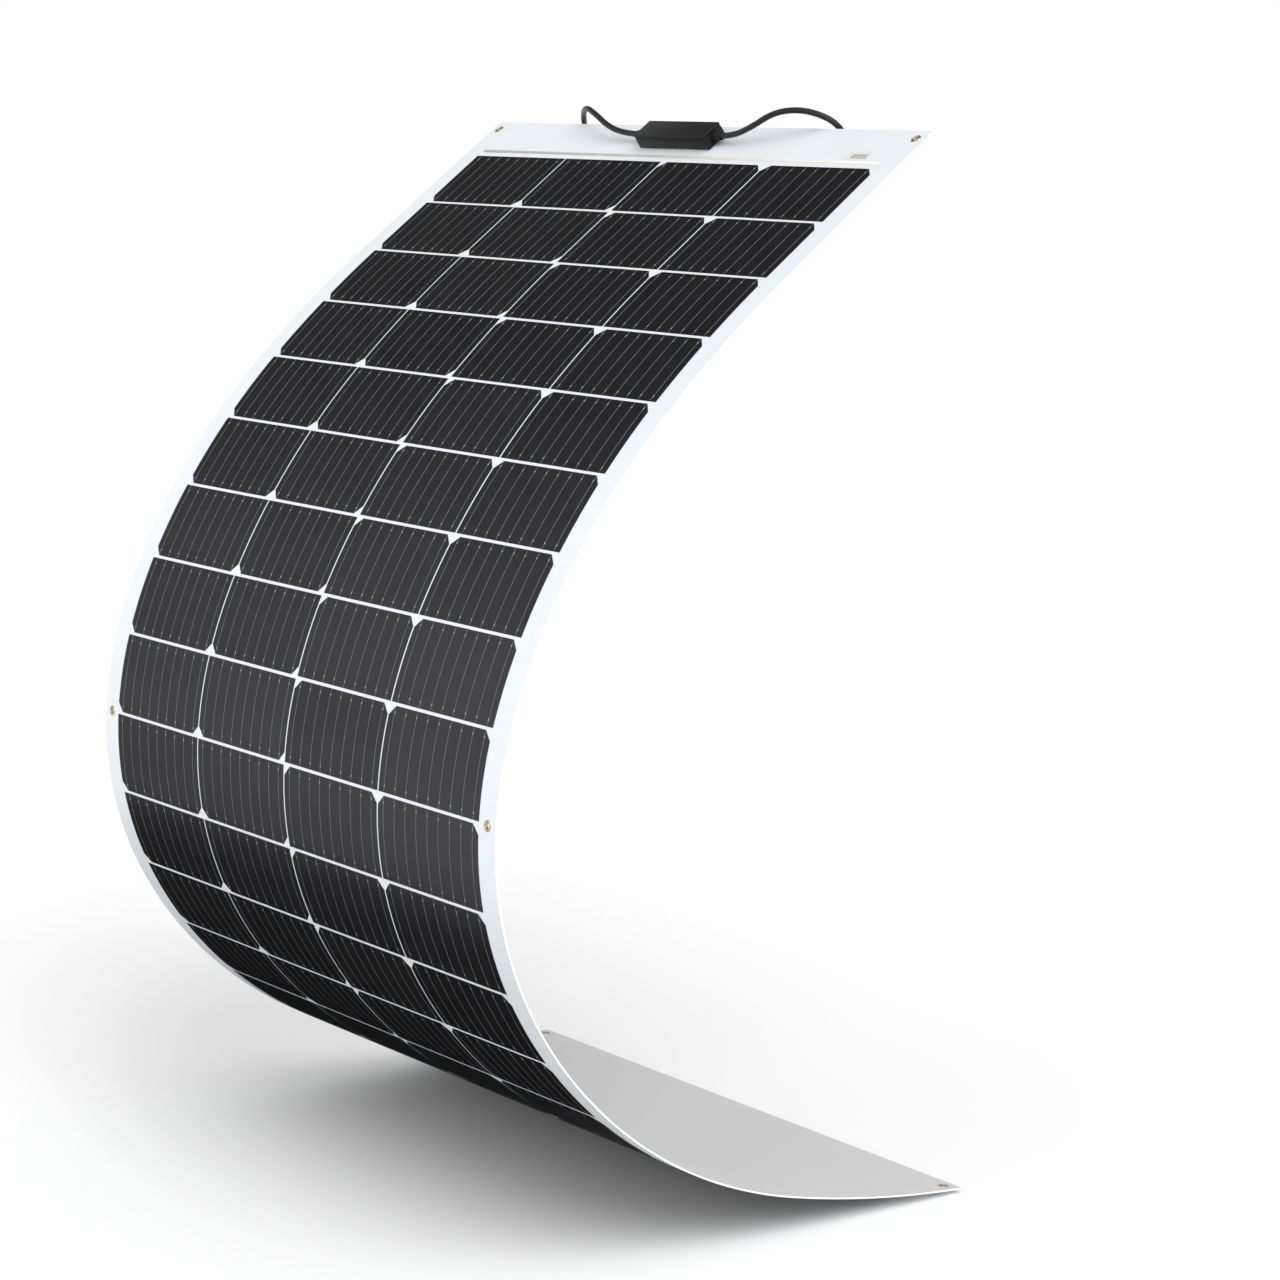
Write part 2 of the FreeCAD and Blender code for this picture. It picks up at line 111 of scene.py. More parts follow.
def middle_layer(mount):
    """The point of the curve at a pair of eyelets, from the mount on the back face."""
    return Vector(mount["pos_m"]) + Vector(mount["axis"]) * BOARD_BACK


def arc_between(start, heading, end):
    """Length and turn of the arc that leaves start along heading and ends at end."""
    chord = end - start
    turn = 2 * (math.atan2(chord.z, chord.y) - heading)
    turn = (turn + 2 * math.pi) % (4 * math.pi) - 2 * math.pi
    if abs(turn) < STRAIGHT_TURN:
        return chord.length, 0.0
    return chord.length * turn / (2 * math.sin(turn / 2)), turn


mounts = {mount["name"]: mount for mount in record["mounts"]}
hinges = [Vector(joint["pos_m"]) for joint in frame["joints"]]
front = Vector(mounts["top_eyelets"]["axis"])
heading = math.atan2(front.z, front.y) + QUARTER
start = middle_layer(mounts["top_eyelets"]) - unit(heading) * EYE_INSET
arcs = []
reached = 0.0
for end in hinges + [middle_layer(mounts["bottom_eyelets"])]:
    long, turn = arc_between(start, heading, end)
    arcs.append({"from": reached, "long": long, "start": start, "heading": heading, "turn": turn})
    reached += long
    heading += turn
    start = end
last = arcs[-1]
last["turn"] *= (last["long"] + EYE_INSET) / last["long"]
last["long"] += EYE_INSET
SHEET_LONG = reached + EYE_INSET
print("arcs:", len(arcs), "sheet length:", round(SHEET_LONG, 4), "m")

# %% [markdown]
# With the arcs known, one function turns "so far across, so far down, so far out" into a place in space.
# A second one gives a whole frame of axes there, for round pieces that are turned first and set on the
# sheet afterwards.

# %% Name any point of the sheet


def arc_at(down):
    return next(arc for arc in reversed(arcs) if down >= arc["from"] or arc is arcs[0])


def heading_at(down):
    arc = arc_at(down)
    return arc["heading"] + arc["turn"] * (down - arc["from"]) / arc["long"]


def on_sheet(x, down, out=0.0):
    """A point: x across, down the sheet from its top edge, and out of its front face."""
    arc = arc_at(down)
    away = unit(heading_at(down) - QUARTER)
    if not arc["turn"]:
        along = unit(arc["heading"]) * (down - arc["from"])
        return arc["start"] + along + away * out + Vector((x, 0, 0))
    radius = arc["long"] / arc["turn"]
    centre = arc["start"] + unit(arc["heading"] + QUARTER) * radius
    return centre + away * (radius + out) + Vector((x, 0, 0))


def sheet_matrix(x, down, out=0.0):
    """Local X across, local Y up the sheet and local Z out of the front, at a point of the sheet."""
    up_sheet = -unit(heading_at(down))
    away = unit(heading_at(down) - QUARTER)
    turned = Matrix((Vector((1, 0, 0)), up_sheet, away)).transposed().to_4x4()
    return Matrix.Translation(on_sheet(x, down, out)) @ turned


print("bottom end at", [round(c, 3) for c in on_sheet(0, SHEET_LONG)])

# %% [markdown]
# ## The two leads
# Each lead is one flexible cable, 6 mm thick and about 0.9 m long. It leaves the junction box, arcs over
# the top edge and is wound into a small tied coil behind the sheet, with its connector hanging down.
# A NURBS curve with a round bevel keeps the cable smooth: its points steer it but it passes inside
# them, as a stiff cable does. The loose part is listed point by point and the coil's turns come from a loop.

# %% Where the leads run
CABLE_RADIUS = 0.003
BOX_DOWN = 0.026
EXIT_UP = 0.0087
COIL_Y = 0.047
COIL_Z = -0.102
COIL_CENTRE = {"left": Vector((-0.142, COIL_Y, COIL_Z)), "right": Vector((0.034, COIL_Y, COIL_Z))}
COIL_RADIUS = {"left": 0.0355, "right": 0.0335}
TAIL_RADIUS = 0.0443
TAIL_END = -0.142
ROUTE = {
    "left": [
        on_sheet(-0.054, BOX_DOWN, EXIT_UP), on_sheet(-0.082, BOX_DOWN, EXIT_UP),
        on_sheet(-0.116, 0.022, 0.013), on_sheet(-0.146, 0.011, 0.023),
        on_sheet(-0.172, 0.001, 0.024), on_sheet(-0.202, -0.008, 0.004),
        Vector((-0.214, 0.031, -0.022)), Vector((-0.207, 0.042, -0.050)),
        Vector((-0.182, COIL_Y, -0.065)), Vector((-0.150, COIL_Y, -0.0577))],
    "right": [
        on_sheet(0.054, BOX_DOWN, EXIT_UP), on_sheet(0.082, BOX_DOWN, EXIT_UP),
        on_sheet(0.114, 0.022, 0.017), on_sheet(0.150, 0.011, 0.029),
        on_sheet(0.184, 0, 0.023), on_sheet(0.208, -0.010, -0.003),
        Vector((0.208, 0.040, -0.033)), Vector((0.184, 0.046, -0.054)),
        Vector((0.148, COIL_Y, -0.062)), Vector((0.110, COIL_Y, -0.063)),
        Vector((0.074, COIL_Y, -0.060)), Vector((0.042, COIL_Y, -0.0577))]}
WINDS = {"left": 1, "right": -1}
print("hand-placed points:", {side: len(points) for side, points in ROUTE.items()})

# %% [markdown]
# A coil is two turns of cable lying side by side, with a quarter turn more to reach the connector. A loop
# gives the angle, and soft steps move the strand from one turn to the other and let its ends leave
# the circle.

# %% Wind the coils
TURNS = 2.25
POINTS_PER_TURN = 16
STRAND_APART = 0.0033
CROSS_DIP = 0.0015


def ease(share):
    share = min(1.0, max(0.0, share))
    return share * share * (3 - 2 * share)


def strand_offset(turns, way_out):
    """Where the strand lies in the bundle after some turns: how far outward, and how far towards +Y."""
    if turns < 0.25:
        return way_out * (1 - ease(turns * 4)), -STRAND_APART * ease(turns * 8)
    if turns < 1:
        return 0.0, -STRAND_APART
    if turns < 1.25:
        share = (turns - 1) * 4
        return -CROSS_DIP * math.sin(math.pi * share), STRAND_APART * (2 * ease(share) - 1)
    if turns < 2:
        return 0.0, STRAND_APART
    share = (turns - 2) * 4
    return way_out * ease(share), STRAND_APART * (1 - ease(2 * share - 1))


def coil_points(side):
    points = []
    way_out = TAIL_RADIUS - COIL_RADIUS[side]
    for step in range(1, int(TURNS * POINTS_PER_TURN) + 1):
        turns = step / POINTS_PER_TURN
        outward, towards_y = strand_offset(turns, way_out)
        angle = math.tau * turns
        radius = COIL_RADIUS[side] + outward
        spoke = Vector((WINDS[side] * math.sin(angle), 0, math.cos(angle))) * radius
        points.append(COIL_CENTRE[side] + spoke + Vector((0, towards_y, 0)))
    return points


def tail_points(side):
    x = COIL_CENTRE[side].x + WINDS[side] * TAIL_RADIUS
    return [Vector((x, COIL_Y, COIL_Z + (TAIL_END - COIL_Z) * share)) for share in (0.4, 0.7, 1.0)]


def put(name, data):
    thing = bpy.data.objects.new(name, data)
    bpy.context.scene.collection.objects.link(thing)
    return thing


def cable(name, points):
    data = bpy.data.curves.new(name, "CURVE")
    data.dimensions = "3D"
    spline = data.splines.new("NURBS")
    spline.points.add(len(points) - 1)
    for spot, point in zip(spline.points, points):
        spot.co = (*point, 1)
    spline.use_endpoint_u = True
    spline.order_u = 3
    data.resolution_u = 6
    data.bevel_depth = CABLE_RADIUS
    data.bevel_resolution = 4
    data.use_fill_caps = True
    return put(name, data)


leads = {}
for side, loose_points in ROUTE.items():
    leads[side] = cable(f"lead_{side}", loose_points + coil_points(side) + tail_points(side))
print("points on each lead:", {side: len(lead.data.splines[0].points) for side, lead in leads.items()})

# %% [markdown]
# ## Finishes
# Every finish is a Principled shader fed by procedural textures. One helper makes the shader with its
# constant values, and a few more add the things nearly all surfaces need: a colour and a roughness that
# vary a little from place to place, and a fine bump. Sizes are given as repeats for each metre, because
# all coordinates here are in metres. A node is made the same way in a material, in Geometry Nodes and
# in the sky, so one function does it everywhere.

# %% Shader helpers


def tree_node(tree, kind, links=None, **settings):
    """A new node; settings go to its properties, and links feed its inputs by name or number."""
    node = tree.nodes.new(kind)
    for key, value in settings.items():
        setattr(node, key, value)
    for socket, value in (links or {}).items():
        if isinstance(value, bpy.types.NodeSocket):
            tree.links.new(value, node.inputs[socket])
        else:
            node.inputs[socket].default_value = value
    return node


def finish(name, colour, roughness, metallic=0.0, coat=0.0, coat_roughness=0.1, specular=0.5):
    material = bpy.data.materials.new(name)
    material.use_nodes = True
    shader = material.node_tree.nodes["Principled BSDF"]
    values = {"Base Color": (*colour, 1), "Roughness": roughness, "Metallic": metallic,
              "Coat Weight": coat, "Coat Roughness": coat_roughness, "Specular IOR Level": specular}
    for socket, value in values.items():
        shader.inputs[socket].default_value = value
    return material


def shader_of(material):
    return material.node_tree.nodes["Principled BSDF"]


def add(material, kind, links=None, **settings):
    return tree_node(material.node_tree, kind, links, **settings)


def object_place(material):
    return add(material, "ShaderNodeTexCoord").outputs["Object"]


def noise(material, repeats, place=None, detail=3.0):
    links = {"Vector": place or object_place(material), "Scale": repeats, "Detail": detail}
    return add(material, "ShaderNodeTexNoise", links).outputs["Fac"]


def math_node(material, operation, *values):
    return add(material, "ShaderNodeMath", dict(enumerate(values)), operation=operation).outputs[0]


def blend_colours(material, share, first, second):
    """The mix of two colours, each a plain colour or a socket; 0, 6, 7 and 2 are the node's own numbers."""
    ends = [end if isinstance(end, bpy.types.NodeSocket) else (*end, 1) for end in (first, second)]
    return add(material, "ShaderNodeMix", {0: share, 6: ends[0], 7: ends[1]}, data_type="RGBA").outputs[2]


def feed(material, socket, source):
    material.node_tree.links.new(source, shader_of(material).inputs[socket])


def bump(material, height, strength, distance):
    node = add(material, "ShaderNodeBump", {"Height": height, "Strength": strength, "Distance": distance})
    feed(material, "Normal", node.outputs["Normal"])


def vary_roughness(material, fac, low, high):
    node = add(material, "ShaderNodeMapRange", {"Value": fac, "To Min": low, "To Max": high})
    feed(material, "Roughness", node.outputs["Result"])


# %% [markdown]
# ### The laminate
# The front of the sheet is white board under a clear, slightly textured film. The film is the coat of
# the shader. A patchy tint and a fine pebble bump keep the white from looking like paper. The back shows
# the glass cloth of the board: two sets of waves, one each way, multiplied into a weave.

# %% White front, grey back and the cut edge
SHEET_UV = "sheet"


def sheet_place(material):
    """Coordinates that follow the curved sheet: x across and distance down, both in metres."""
    return add(material, "ShaderNodeUVMap", uv_map=SHEET_UV).outputs["UV"]


white_front = finish("white_front", (0.66, 0.70, 0.73), 0.42, coat=0.35, coat_roughness=0.3)
place = sheet_place(white_front)
patches = noise(white_front, 9, place)
feed(white_front, "Base Color", blend_colours(white_front, patches, (0.64, 0.69, 0.725), (0.68, 0.715, 0.74)))
vary_roughness(white_front, noise(white_front, 60, place), 0.36, 0.5)
bump(white_front, noise(white_front, 1400, place, 1.0), 0.12, 0.0002)

grey_back = finish("grey_back", (0.60, 0.60, 0.60), 0.6)
place = sheet_place(grey_back)
threads = {"Vector": place, "Scale": 160.0, "Distortion": 0.4}
warp = add(grey_back, "ShaderNodeTexWave", threads, bands_direction="X").outputs["Fac"]
weft = add(grey_back, "ShaderNodeTexWave", threads, bands_direction="Y").outputs["Fac"]
cloth = math_node(grey_back, "MULTIPLY", warp, weft)
patches = noise(grey_back, 7, place)
feed(grey_back, "Base Color", blend_colours(grey_back, patches, (0.585, 0.585, 0.59), (0.62, 0.62, 0.62)))
vary_roughness(grey_back, patches, 0.5, 0.66)
bump(grey_back, cloth, 0.25, 0.00015)

cut_edge = finish("cut_edge", (0.84, 0.85, 0.86), 0.5)
layers = noise(cut_edge, 900)
feed(cut_edge, "Base Color", blend_colours(cut_edge, layers, (0.80, 0.81, 0.82), (0.88, 0.89, 0.90)))
vary_roughness(cut_edge, layers, 0.45, 0.6)
print("laminate finishes:", [m.name for m in (white_front, grey_back, cut_edge)])

# %% [markdown]
# ### The cells
# A half cell is a thin slice of silicon, almost black with a hint of blue, printed with hair-fine silver
# fingers across the wires. No two slices are quite the same tone. The finger lines come from the
# distance down the sheet, and the tone of each slice from white noise read at the number of its
# column and row. The tint at grazing angles is held low, because a cell under film stays dark there.

# %% Silicon, silver wire and tinned ribbon
COLUMN_PITCH = 0.16075
ROW_PITCH = 0.0824
TOP_MARGIN = 0.058
FINGER_PITCH = 0.0016
FINGER_SHARE = 0.08
GRAZING_TINT = (0.12, 0.12, 0.12, 1)
TONE_FROM_SLICE = 0.6

silicon = finish("silicon", (0.055, 0.055, 0.06), 0.32, metallic=0.9, coat=0.1, coat_roughness=0.2)
shader_of(silicon).inputs["Specular Tint"].default_value = GRAZING_TINT
place = sheet_place(silicon)
split = add(silicon, "ShaderNodeSeparateXYZ", {0: place})
down_share = math_node(silicon, "DIVIDE", split.outputs["Y"], FINGER_PITCH)
finger = math_node(silicon, "LESS_THAN", math_node(silicon, "FRACT", down_share), FINGER_SHARE)
column_number = math_node(silicon, "FLOOR", math_node(silicon, "DIVIDE", split.outputs["X"], COLUMN_PITCH))
row_down = math_node(silicon, "SUBTRACT", split.outputs["Y"], TOP_MARGIN)
row_number = math_node(silicon, "FLOOR", math_node(silicon, "DIVIDE", row_down, ROW_PITCH))
slice_name = add(silicon, "ShaderNodeCombineXYZ", {"X": column_number, "Y": row_number})
slice_tone = add(silicon, "ShaderNodeTexWhiteNoise", {"Vector": slice_name.outputs[0]}).outputs["Value"]
mottle = noise(silicon, 45, place)
tone = math_node(silicon, "ADD", math_node(silicon, "MULTIPLY", slice_tone, TONE_FROM_SLICE),
                 math_node(silicon, "MULTIPLY", mottle, 1 - TONE_FROM_SLICE))
dark = blend_colours(silicon, tone, (0.05, 0.05, 0.055), (0.066, 0.066, 0.071))
feed(silicon, "Base Color", blend_colours(silicon, finger, dark, (0.10, 0.10, 0.105)))
vary_roughness(silicon, mottle, 0.28, 0.4)
bump(silicon, noise(silicon, 1300, place, 1.0), 0.04, 0.0002)

silver_wire = finish("silver_wire", (0.17, 0.175, 0.18), 0.45, metallic=0.25, coat=0.2, coat_roughness=0.25)
streak = noise(silver_wire, 300)
feed(silver_wire, "Base Color", blend_colours(silver_wire, streak, (0.13, 0.135, 0.14), (0.21, 0.215, 0.22)))
vary_roughness(silver_wire, streak, 0.38, 0.52)

solder_pad = finish("solder_pad", (0.27, 0.28, 0.29), 0.4, metallic=0.3, coat=0.3, coat_roughness=0.25)
blot = noise(solder_pad, 500)
feed(solder_pad, "Base Color", blend_colours(solder_pad, blot, (0.22, 0.23, 0.24), (0.33, 0.34, 0.35)))
vary_roughness(solder_pad, blot, 0.32, 0.5)

ribbon_tin = finish("ribbon_tin", (0.62, 0.59, 0.52), 0.45, metallic=0.2, coat=0.6, coat_roughness=0.25)
streak = noise(ribbon_tin, 80)
feed(ribbon_tin, "Base Color", blend_colours(ribbon_tin, streak, (0.57, 0.53, 0.46), (0.68, 0.65, 0.58)))
vary_roughness(ribbon_tin, streak, 0.36, 0.52)
print("cell finishes:", [m.name for m in (silicon, silver_wire, solder_pad, ribbon_tin)])

# %% [markdown]
# ### Hardware
# Brass dulls unevenly, moulded plastic has a fine spark-eroded grain, and a cable jacket is smoother
# with a soft sheen. All of them are the same recipe with other numbers: a colour between two tones, a
# roughness that varies with it, and a bump.

# %% Brass, plastics, rubber and small metal


def grained(name, dull, bright, rough_low, rough_high, repeats, strength, distance, **extra):
    """A surface that varies between two tones and two roughnesses, with a fine grain."""
    material = finish(name, dull, rough_low, **extra)
    patches = noise(material, repeats / 12)
    feed(material, "Base Color", blend_colours(material, patches, dull, bright))
    vary_roughness(material, noise(material, repeats / 4), rough_low, rough_high)
    bump(material, noise(material, repeats, detail=2.0), strength, distance)
    return material


brass = grained("brass", (0.46, 0.37, 0.23), (0.66, 0.56, 0.38), 0.22, 0.42, 1500, 0.1, 0.0001, metallic=1.0)
tin = grained("tinned_metal", (0.55, 0.55, 0.54), (0.72, 0.72, 0.71), 0.25, 0.42, 1400, 0.15, 0.0001,
              metallic=1.0)
box_plastic = grained("box_plastic", (0.006, 0.006, 0.0065), (0.011, 0.011, 0.0115), 0.4, 0.55, 2600, 0.3,
                      0.0001, specular=0.22)
lid_plastic = grained("lid_plastic", (0.006, 0.006, 0.0065), (0.01, 0.01, 0.0105), 0.36, 0.5, 2600, 0.25,
                      0.0001, specular=0.22)
jacket = grained("cable_jacket", (0.005, 0.005, 0.0055), (0.01, 0.01, 0.011), 0.3, 0.44, 1200, 0.15,
                 0.0001, specular=0.3)
plug_plastic = grained("plug_plastic", (0.014, 0.014, 0.015), (0.022, 0.022, 0.023), 0.42, 0.6, 2200, 0.3,
                       0.0001)
tie_nylon = grained("tie_nylon", (0.02, 0.02, 0.021), (0.03, 0.03, 0.031), 0.3, 0.42, 1500, 0.2, 0.0001)
foam = grained("pad_foam", (0.03, 0.03, 0.03), (0.06, 0.06, 0.06), 0.8, 0.95, 1800, 0.6, 0.0002)
sealant = grained("box_sealant", (0.14, 0.14, 0.14), (0.2, 0.2, 0.2), 0.3, 0.5, 400, 0.2, 0.0003)
diode_resin = grained("diode_resin", (0.02, 0.02, 0.02), (0.035, 0.035, 0.035), 0.25, 0.4, 900, 0.1, 0.0001)
label_paper = grained("label_paper", (0.62, 0.61, 0.55), (0.70, 0.69, 0.64), 0.4, 0.55, 900, 0.15, 0.0001,
                      coat=0.4)
label_ink = grained("label_ink", (0.36, 0.37, 0.37), (0.42, 0.43, 0.43), 0.45, 0.6, 900, 0.1, 0.0001,
                    coat=0.4)
print("hardware finishes ready")

# %% [markdown]
# ## Cutting the sheet where it bends
# In the frame the sheet is fourteen stiff lengths on hinges. The real sheet bends everywhere, so each
# visible piece runs from the middle of one length to the middle of the next, and neighbours meet at the
# same cut. The first and the last piece ride their own length; the pieces between follow no body.

# %% Split points
ROWS = 18
BOTTOM_MARGIN = SHEET_LONG - TOP_MARGIN - ROWS * ROW_PITCH


def middle_split(arc):
    """The middle of a length; on the last one, the gap between its two rows."""
    cell_part = arc["long"] - (BOTTOM_MARGIN if arc is last else 0)
    return arc["from"] + round(cell_part / ROW_PITCH) * ROW_PITCH / 2


first_split = TOP_MARGIN + ROW_PITCH
splits = [first_split] + [middle_split(arc) for arc in arcs[1:]]
cuts = [0.0] + splits + [SHEET_LONG]
spans = list(zip(cuts, cuts[1:]))
BODIES = [f"length_{number:02d}" for number in range(1, len(arcs) + 1)]
print("pieces down the sheet:", len(spans), "split at", [round(cut, 3) for cut in splits])


def follow(piece, index):
    """The first and the last span ride their own length, and the others are only baked in place."""
    if index == 0:
        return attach(piece, BODIES[0])
    if index == len(spans) - 1:
        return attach(piece, BODIES[-1])
    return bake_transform(piece)


def fit(piece, index, slot, *nodes):
    """A piece follows its span and stands for nodes of the frame; its slot argument is not used."""
    follow(piece, index)
    if nodes:
        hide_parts(*nodes)


# %% [markdown]
# ## The board, by Geometry Nodes
# The board is one profile carried along a path: a flat strip with slightly broken edges. Geometry Nodes
# do exactly that with Curve to Mesh. The path is a line of points from the arcs, which carries its
# distance down the sheet as an attribute, so the texture coordinates come out right however the
# sheet bends. Faces that look along the front direction get the white finish, the opposite ones grey.

# %% Small helpers for trees
STEP = ROW_PITCH / 24


def new_tree(name, sockets):
    """An empty tree with a geometry input and output and the named number inputs."""
    tree = bpy.data.node_groups.new(name, "GeometryNodeTree")
    tree.interface.new_socket(name="Geometry", in_out="INPUT", socket_type="NodeSocketGeometry")
    for socket, value in sockets.items():
        kind = "NodeSocketInt" if isinstance(value, int) else "NodeSocketFloat"
        made = tree.interface.new_socket(name=socket, in_out="INPUT", socket_type=kind)
        made.default_value = value
    tree.interface.new_socket(name="Geometry", in_out="OUTPUT", socket_type="NodeSocketGeometry")
    return tree, tree.nodes.new("NodeGroupInput"), tree.nodes.new("NodeGroupOutput")


def settle(thing):
    """Gives an object the plain mesh that its modifiers make, and takes the modifiers off."""
    graph = bpy.context.evaluated_depsgraph_get()
    made = bpy.data.meshes.new_from_object(thing.evaluated_get(graph))
    thing.modifiers.clear()
    thing.data = made


def grow(name, carrier, tree, values):
    """Runs a tree on a carrier mesh and returns the plain mesh object that comes out."""
    thing = put(name, carrier)
    modifier = thing.modifiers.new("grow", "NODES")
    modifier.node_group = tree
    for item in tree.interface.items_tree:
        if item.in_out == "INPUT" and item.name in values:
            modifier[item.identifier] = values[item.name]
    settle(thing)
    thing.data.name = name
    return thing


def smooth_by_angle(mesh, degrees=35):
    """Smooth shading, kept sharp where two faces meet at more than an angle."""
    work = bmesh.new()
    work.from_mesh(mesh)
    for edge in work.edges:
        edge.smooth = len(edge.link_faces) == 2 and edge.calc_face_angle(0) < math.radians(degrees)
    for face in work.faces:
        face.smooth = True
    work.to_mesh(mesh)
    work.free()


def path_mesh(name, runs, out):
    """Lines of points along the sheet, one for each run, each point knowing its distance down."""
    points, edges, downs = [], [], []
    for begin, finish_at in runs:
        count = max(2, round((finish_at - begin) / STEP))
        for step in range(count + 1):
            down = begin + (finish_at - begin) * step / count
            if step:
                edges.append((len(points) - 1, len(points)))
            points.append(on_sheet(0, down, out))
            downs.append(down)
    mesh = bpy.data.meshes.new(name)
    mesh.from_pydata(points, edges, [])
    mesh.attributes.new("down", "FLOAT", "POINT").data.foreach_set("value", downs)
    return mesh


print("step along the sheet:", round(STEP * 1000, 2), "mm")

# %% [markdown]
# The tree itself: sweep the profile, compare each face's normal with the front direction, paint the cut
# edge, the white front and the grey back, and store the texture coordinates.

# %% The board tree
EDGE_BREAK = 0.0003
FACING_LIMIT = 0.9


def sweep_nodes(tree, source, profile):
    """Carries a profile along the incoming path and keeps the path's direction on the new mesh."""
    curve = tree_node(tree, "GeometryNodeMeshToCurve", {"Mesh": source})
    keep = tree_node(tree, "GeometryNodeCaptureAttribute", {"Geometry": curve.outputs[0]}, domain="POINT")
    keep.capture_items.new("VECTOR", "tangent")
    tangent = tree_node(tree, "GeometryNodeInputTangent")
    tree.links.new(tangent.outputs[0], keep.inputs[1])
    swept = tree_node(tree, "GeometryNodeCurveToMesh",
                      {"Curve": keep.outputs[0], "Profile Curve": profile, "Fill Caps": True})
    return swept.outputs[0], keep.outputs[1]


def facing_node(tree, tangent):
    """How much a face looks out of the sheet's front: 1 on the front and -1 on the back."""
    out = tree_node(tree, "ShaderNodeVectorMath", {0: tangent, 1: (1, 0, 0)}, operation="CROSS_PRODUCT")
    normal = tree_node(tree, "GeometryNodeInputNormal")
    return tree_node(tree, "ShaderNodeVectorMath", {0: normal.outputs[0], 1: out.outputs[0]},
                     operation="DOT_PRODUCT").outputs["Value"]


def compare(tree, value, operation, limit):
    return tree_node(tree, "FunctionNodeCompare", {"A": value, "B": limit}, data_type="FLOAT",
                     operation=operation).outputs[0]


def paint(tree, geometry, material, selection=None):
    node = tree_node(tree, "GeometryNodeSetMaterial", {"Geometry": geometry, "Material": material})
    if selection:
        tree.links.new(selection, node.inputs["Selection"])
    return node.outputs[0]


def store_sheet_uv(tree, geometry):
    """Writes x across and distance down as the texture coordinates of the sheet."""
    position = tree_node(tree, "GeometryNodeInputPosition")
    place = tree_node(tree, "ShaderNodeSeparateXYZ", {0: position.outputs[0]})
    down = tree_node(tree, "GeometryNodeInputNamedAttribute", {"Name": "down"}, data_type="FLOAT")
    both = tree_node(tree, "ShaderNodeCombineXYZ", {"X": place.outputs["X"], "Y": down.outputs[0]})
    store = tree_node(tree, "GeometryNodeStoreNamedAttribute",
                      {"Geometry": geometry, "Name": SHEET_UV, "Value": both.outputs[0]},
                      data_type="FLOAT2", domain="CORNER")
    return store.outputs[0]


def make_board_tree():
    """The strip with broken edges, swept, painted by the way its faces look, and solid."""
    tree, source, result = new_tree("board_strip", {
        "Width": BOARD_WIDE, "Thickness": BOARD_FRONT + BOARD_BACK, "Edge Break": EDGE_BREAK})
    strip = tree_node(tree, "GeometryNodeCurvePrimitiveQuadrilateral",
                      {"Width": source.outputs["Width"], "Height": source.outputs["Thickness"]})
    broken = tree_node(tree, "GeometryNodeFilletCurve",
                       {"Curve": strip.outputs[0], "Radius": source.outputs["Edge Break"], "Count": 1},
                       mode="POLY")
    swept, tangent = sweep_nodes(tree, source.outputs["Geometry"], broken.outputs[0])
    facing = facing_node(tree, tangent)
    body = paint(tree, swept, cut_edge)
    body = paint(tree, body, white_front, compare(tree, facing, "GREATER_THAN", FACING_LIMIT))
    body = paint(tree, body, grey_back, compare(tree, facing, "LESS_THAN", -FACING_LIMIT))
    solid = tree_node(tree, "GeometryNodeRealizeInstances", {"Geometry": store_sheet_uv(tree, body)})
    tree.links.new(solid.outputs[0], result.inputs[0])
    return tree


board_tree = make_board_tree()
print("board tree:", len(board_tree.nodes), "nodes")

# %% [markdown]
# Eyelets sit in punched holes, and a Boolean with two short round bars cuts them just as a punch does.
# The bars bring the cut-edge finish with them. Each board piece is then shaded smooth along its bend and
# kept sharp at its edges.

# %% Punch the eyelet holes
HOLE_RADIUS = 0.0031
HOLE_SIDES = 32
PUNCH_REACH = 0.004
EYE_X = BOARD_WIDE / 2 - EYE_INSET
above_middle = arcs[5]
EYE_DOWN = {
    "top": EYE_INSET,
    "middle": above_middle["from"] + above_middle["long"],
    "bottom": SHEET_LONG - EYE_INSET}


def ring_points(radius, count, z):
    return [(radius * math.cos(math.tau * n / count), radius * math.sin(math.tau * n / count), z)
            for n in range(count)]


def punch(piece, down):
    """Cuts the two round eyelet holes of one pair through the board."""
    count = HOLE_SIDES
    points, faces = [], []
    for x in (-EYE_X, EYE_X):
        base = len(points)
        place = sheet_matrix(x, down)
        for z in (-PUNCH_REACH, PUNCH_REACH):
            points += [place @ Vector(p) for p in ring_points(HOLE_RADIUS, count, z)]
        faces.append([base + n for n in reversed(range(count))])
        faces.append([base + count + n for n in range(count)])
        faces += [[base + n, base + (n + 1) % count, base + count + (n + 1) % count, base + count + n]
                  for n in range(count)]
    mesh = bpy.data.meshes.new("punch")
    mesh.from_pydata(points, [], faces)
    mesh.materials.append(cut_edge)
    tool = put("punch", mesh)
    cut = piece.modifiers.new("punch", "BOOLEAN")
    cut.object = tool
    cut.solver = "EXACT"
    cut.material_mode = "TRANSFER"
    settle(piece)
    bpy.data.objects.remove(tool)


def length_number(index):
    """The number of the frame's length that the piece of a span stands for."""
    return min(index, len(BODIES) - 1) + 1


boards = []
for index, (begin, finish_at) in enumerate(spans):
    number = index + 1
    path = path_mesh(f"board_path_{number:02d}", [(begin, finish_at)], (BOARD_FRONT - BOARD_BACK) / 2)
    board = grow(f"laminate_{number:02d}", path, board_tree, {"Width": BOARD_WIDE})
    for down in EYE_DOWN.values():
        if begin < down < finish_at:
            punch(board, down)
    smooth_by_angle(board.data)
    fit(board, index, "board", f"sheet_{length_number(index):02d}")
    boards.append(board)
print("board triangles:", sum(len(p.vertices) - 2 for b in boards for p in b.data.polygons))

# %% [markdown]
# ## The half cells
# Each slice is a thin plate with two cropped corners, cut from a round wafer. The two left columns have
# them at the bottom, the two right columns at the top, because each half comes from one side of its
# wafer. A plate is a ladder of rungs across the sheet: where the corners are cropped the rungs
# are shorter.

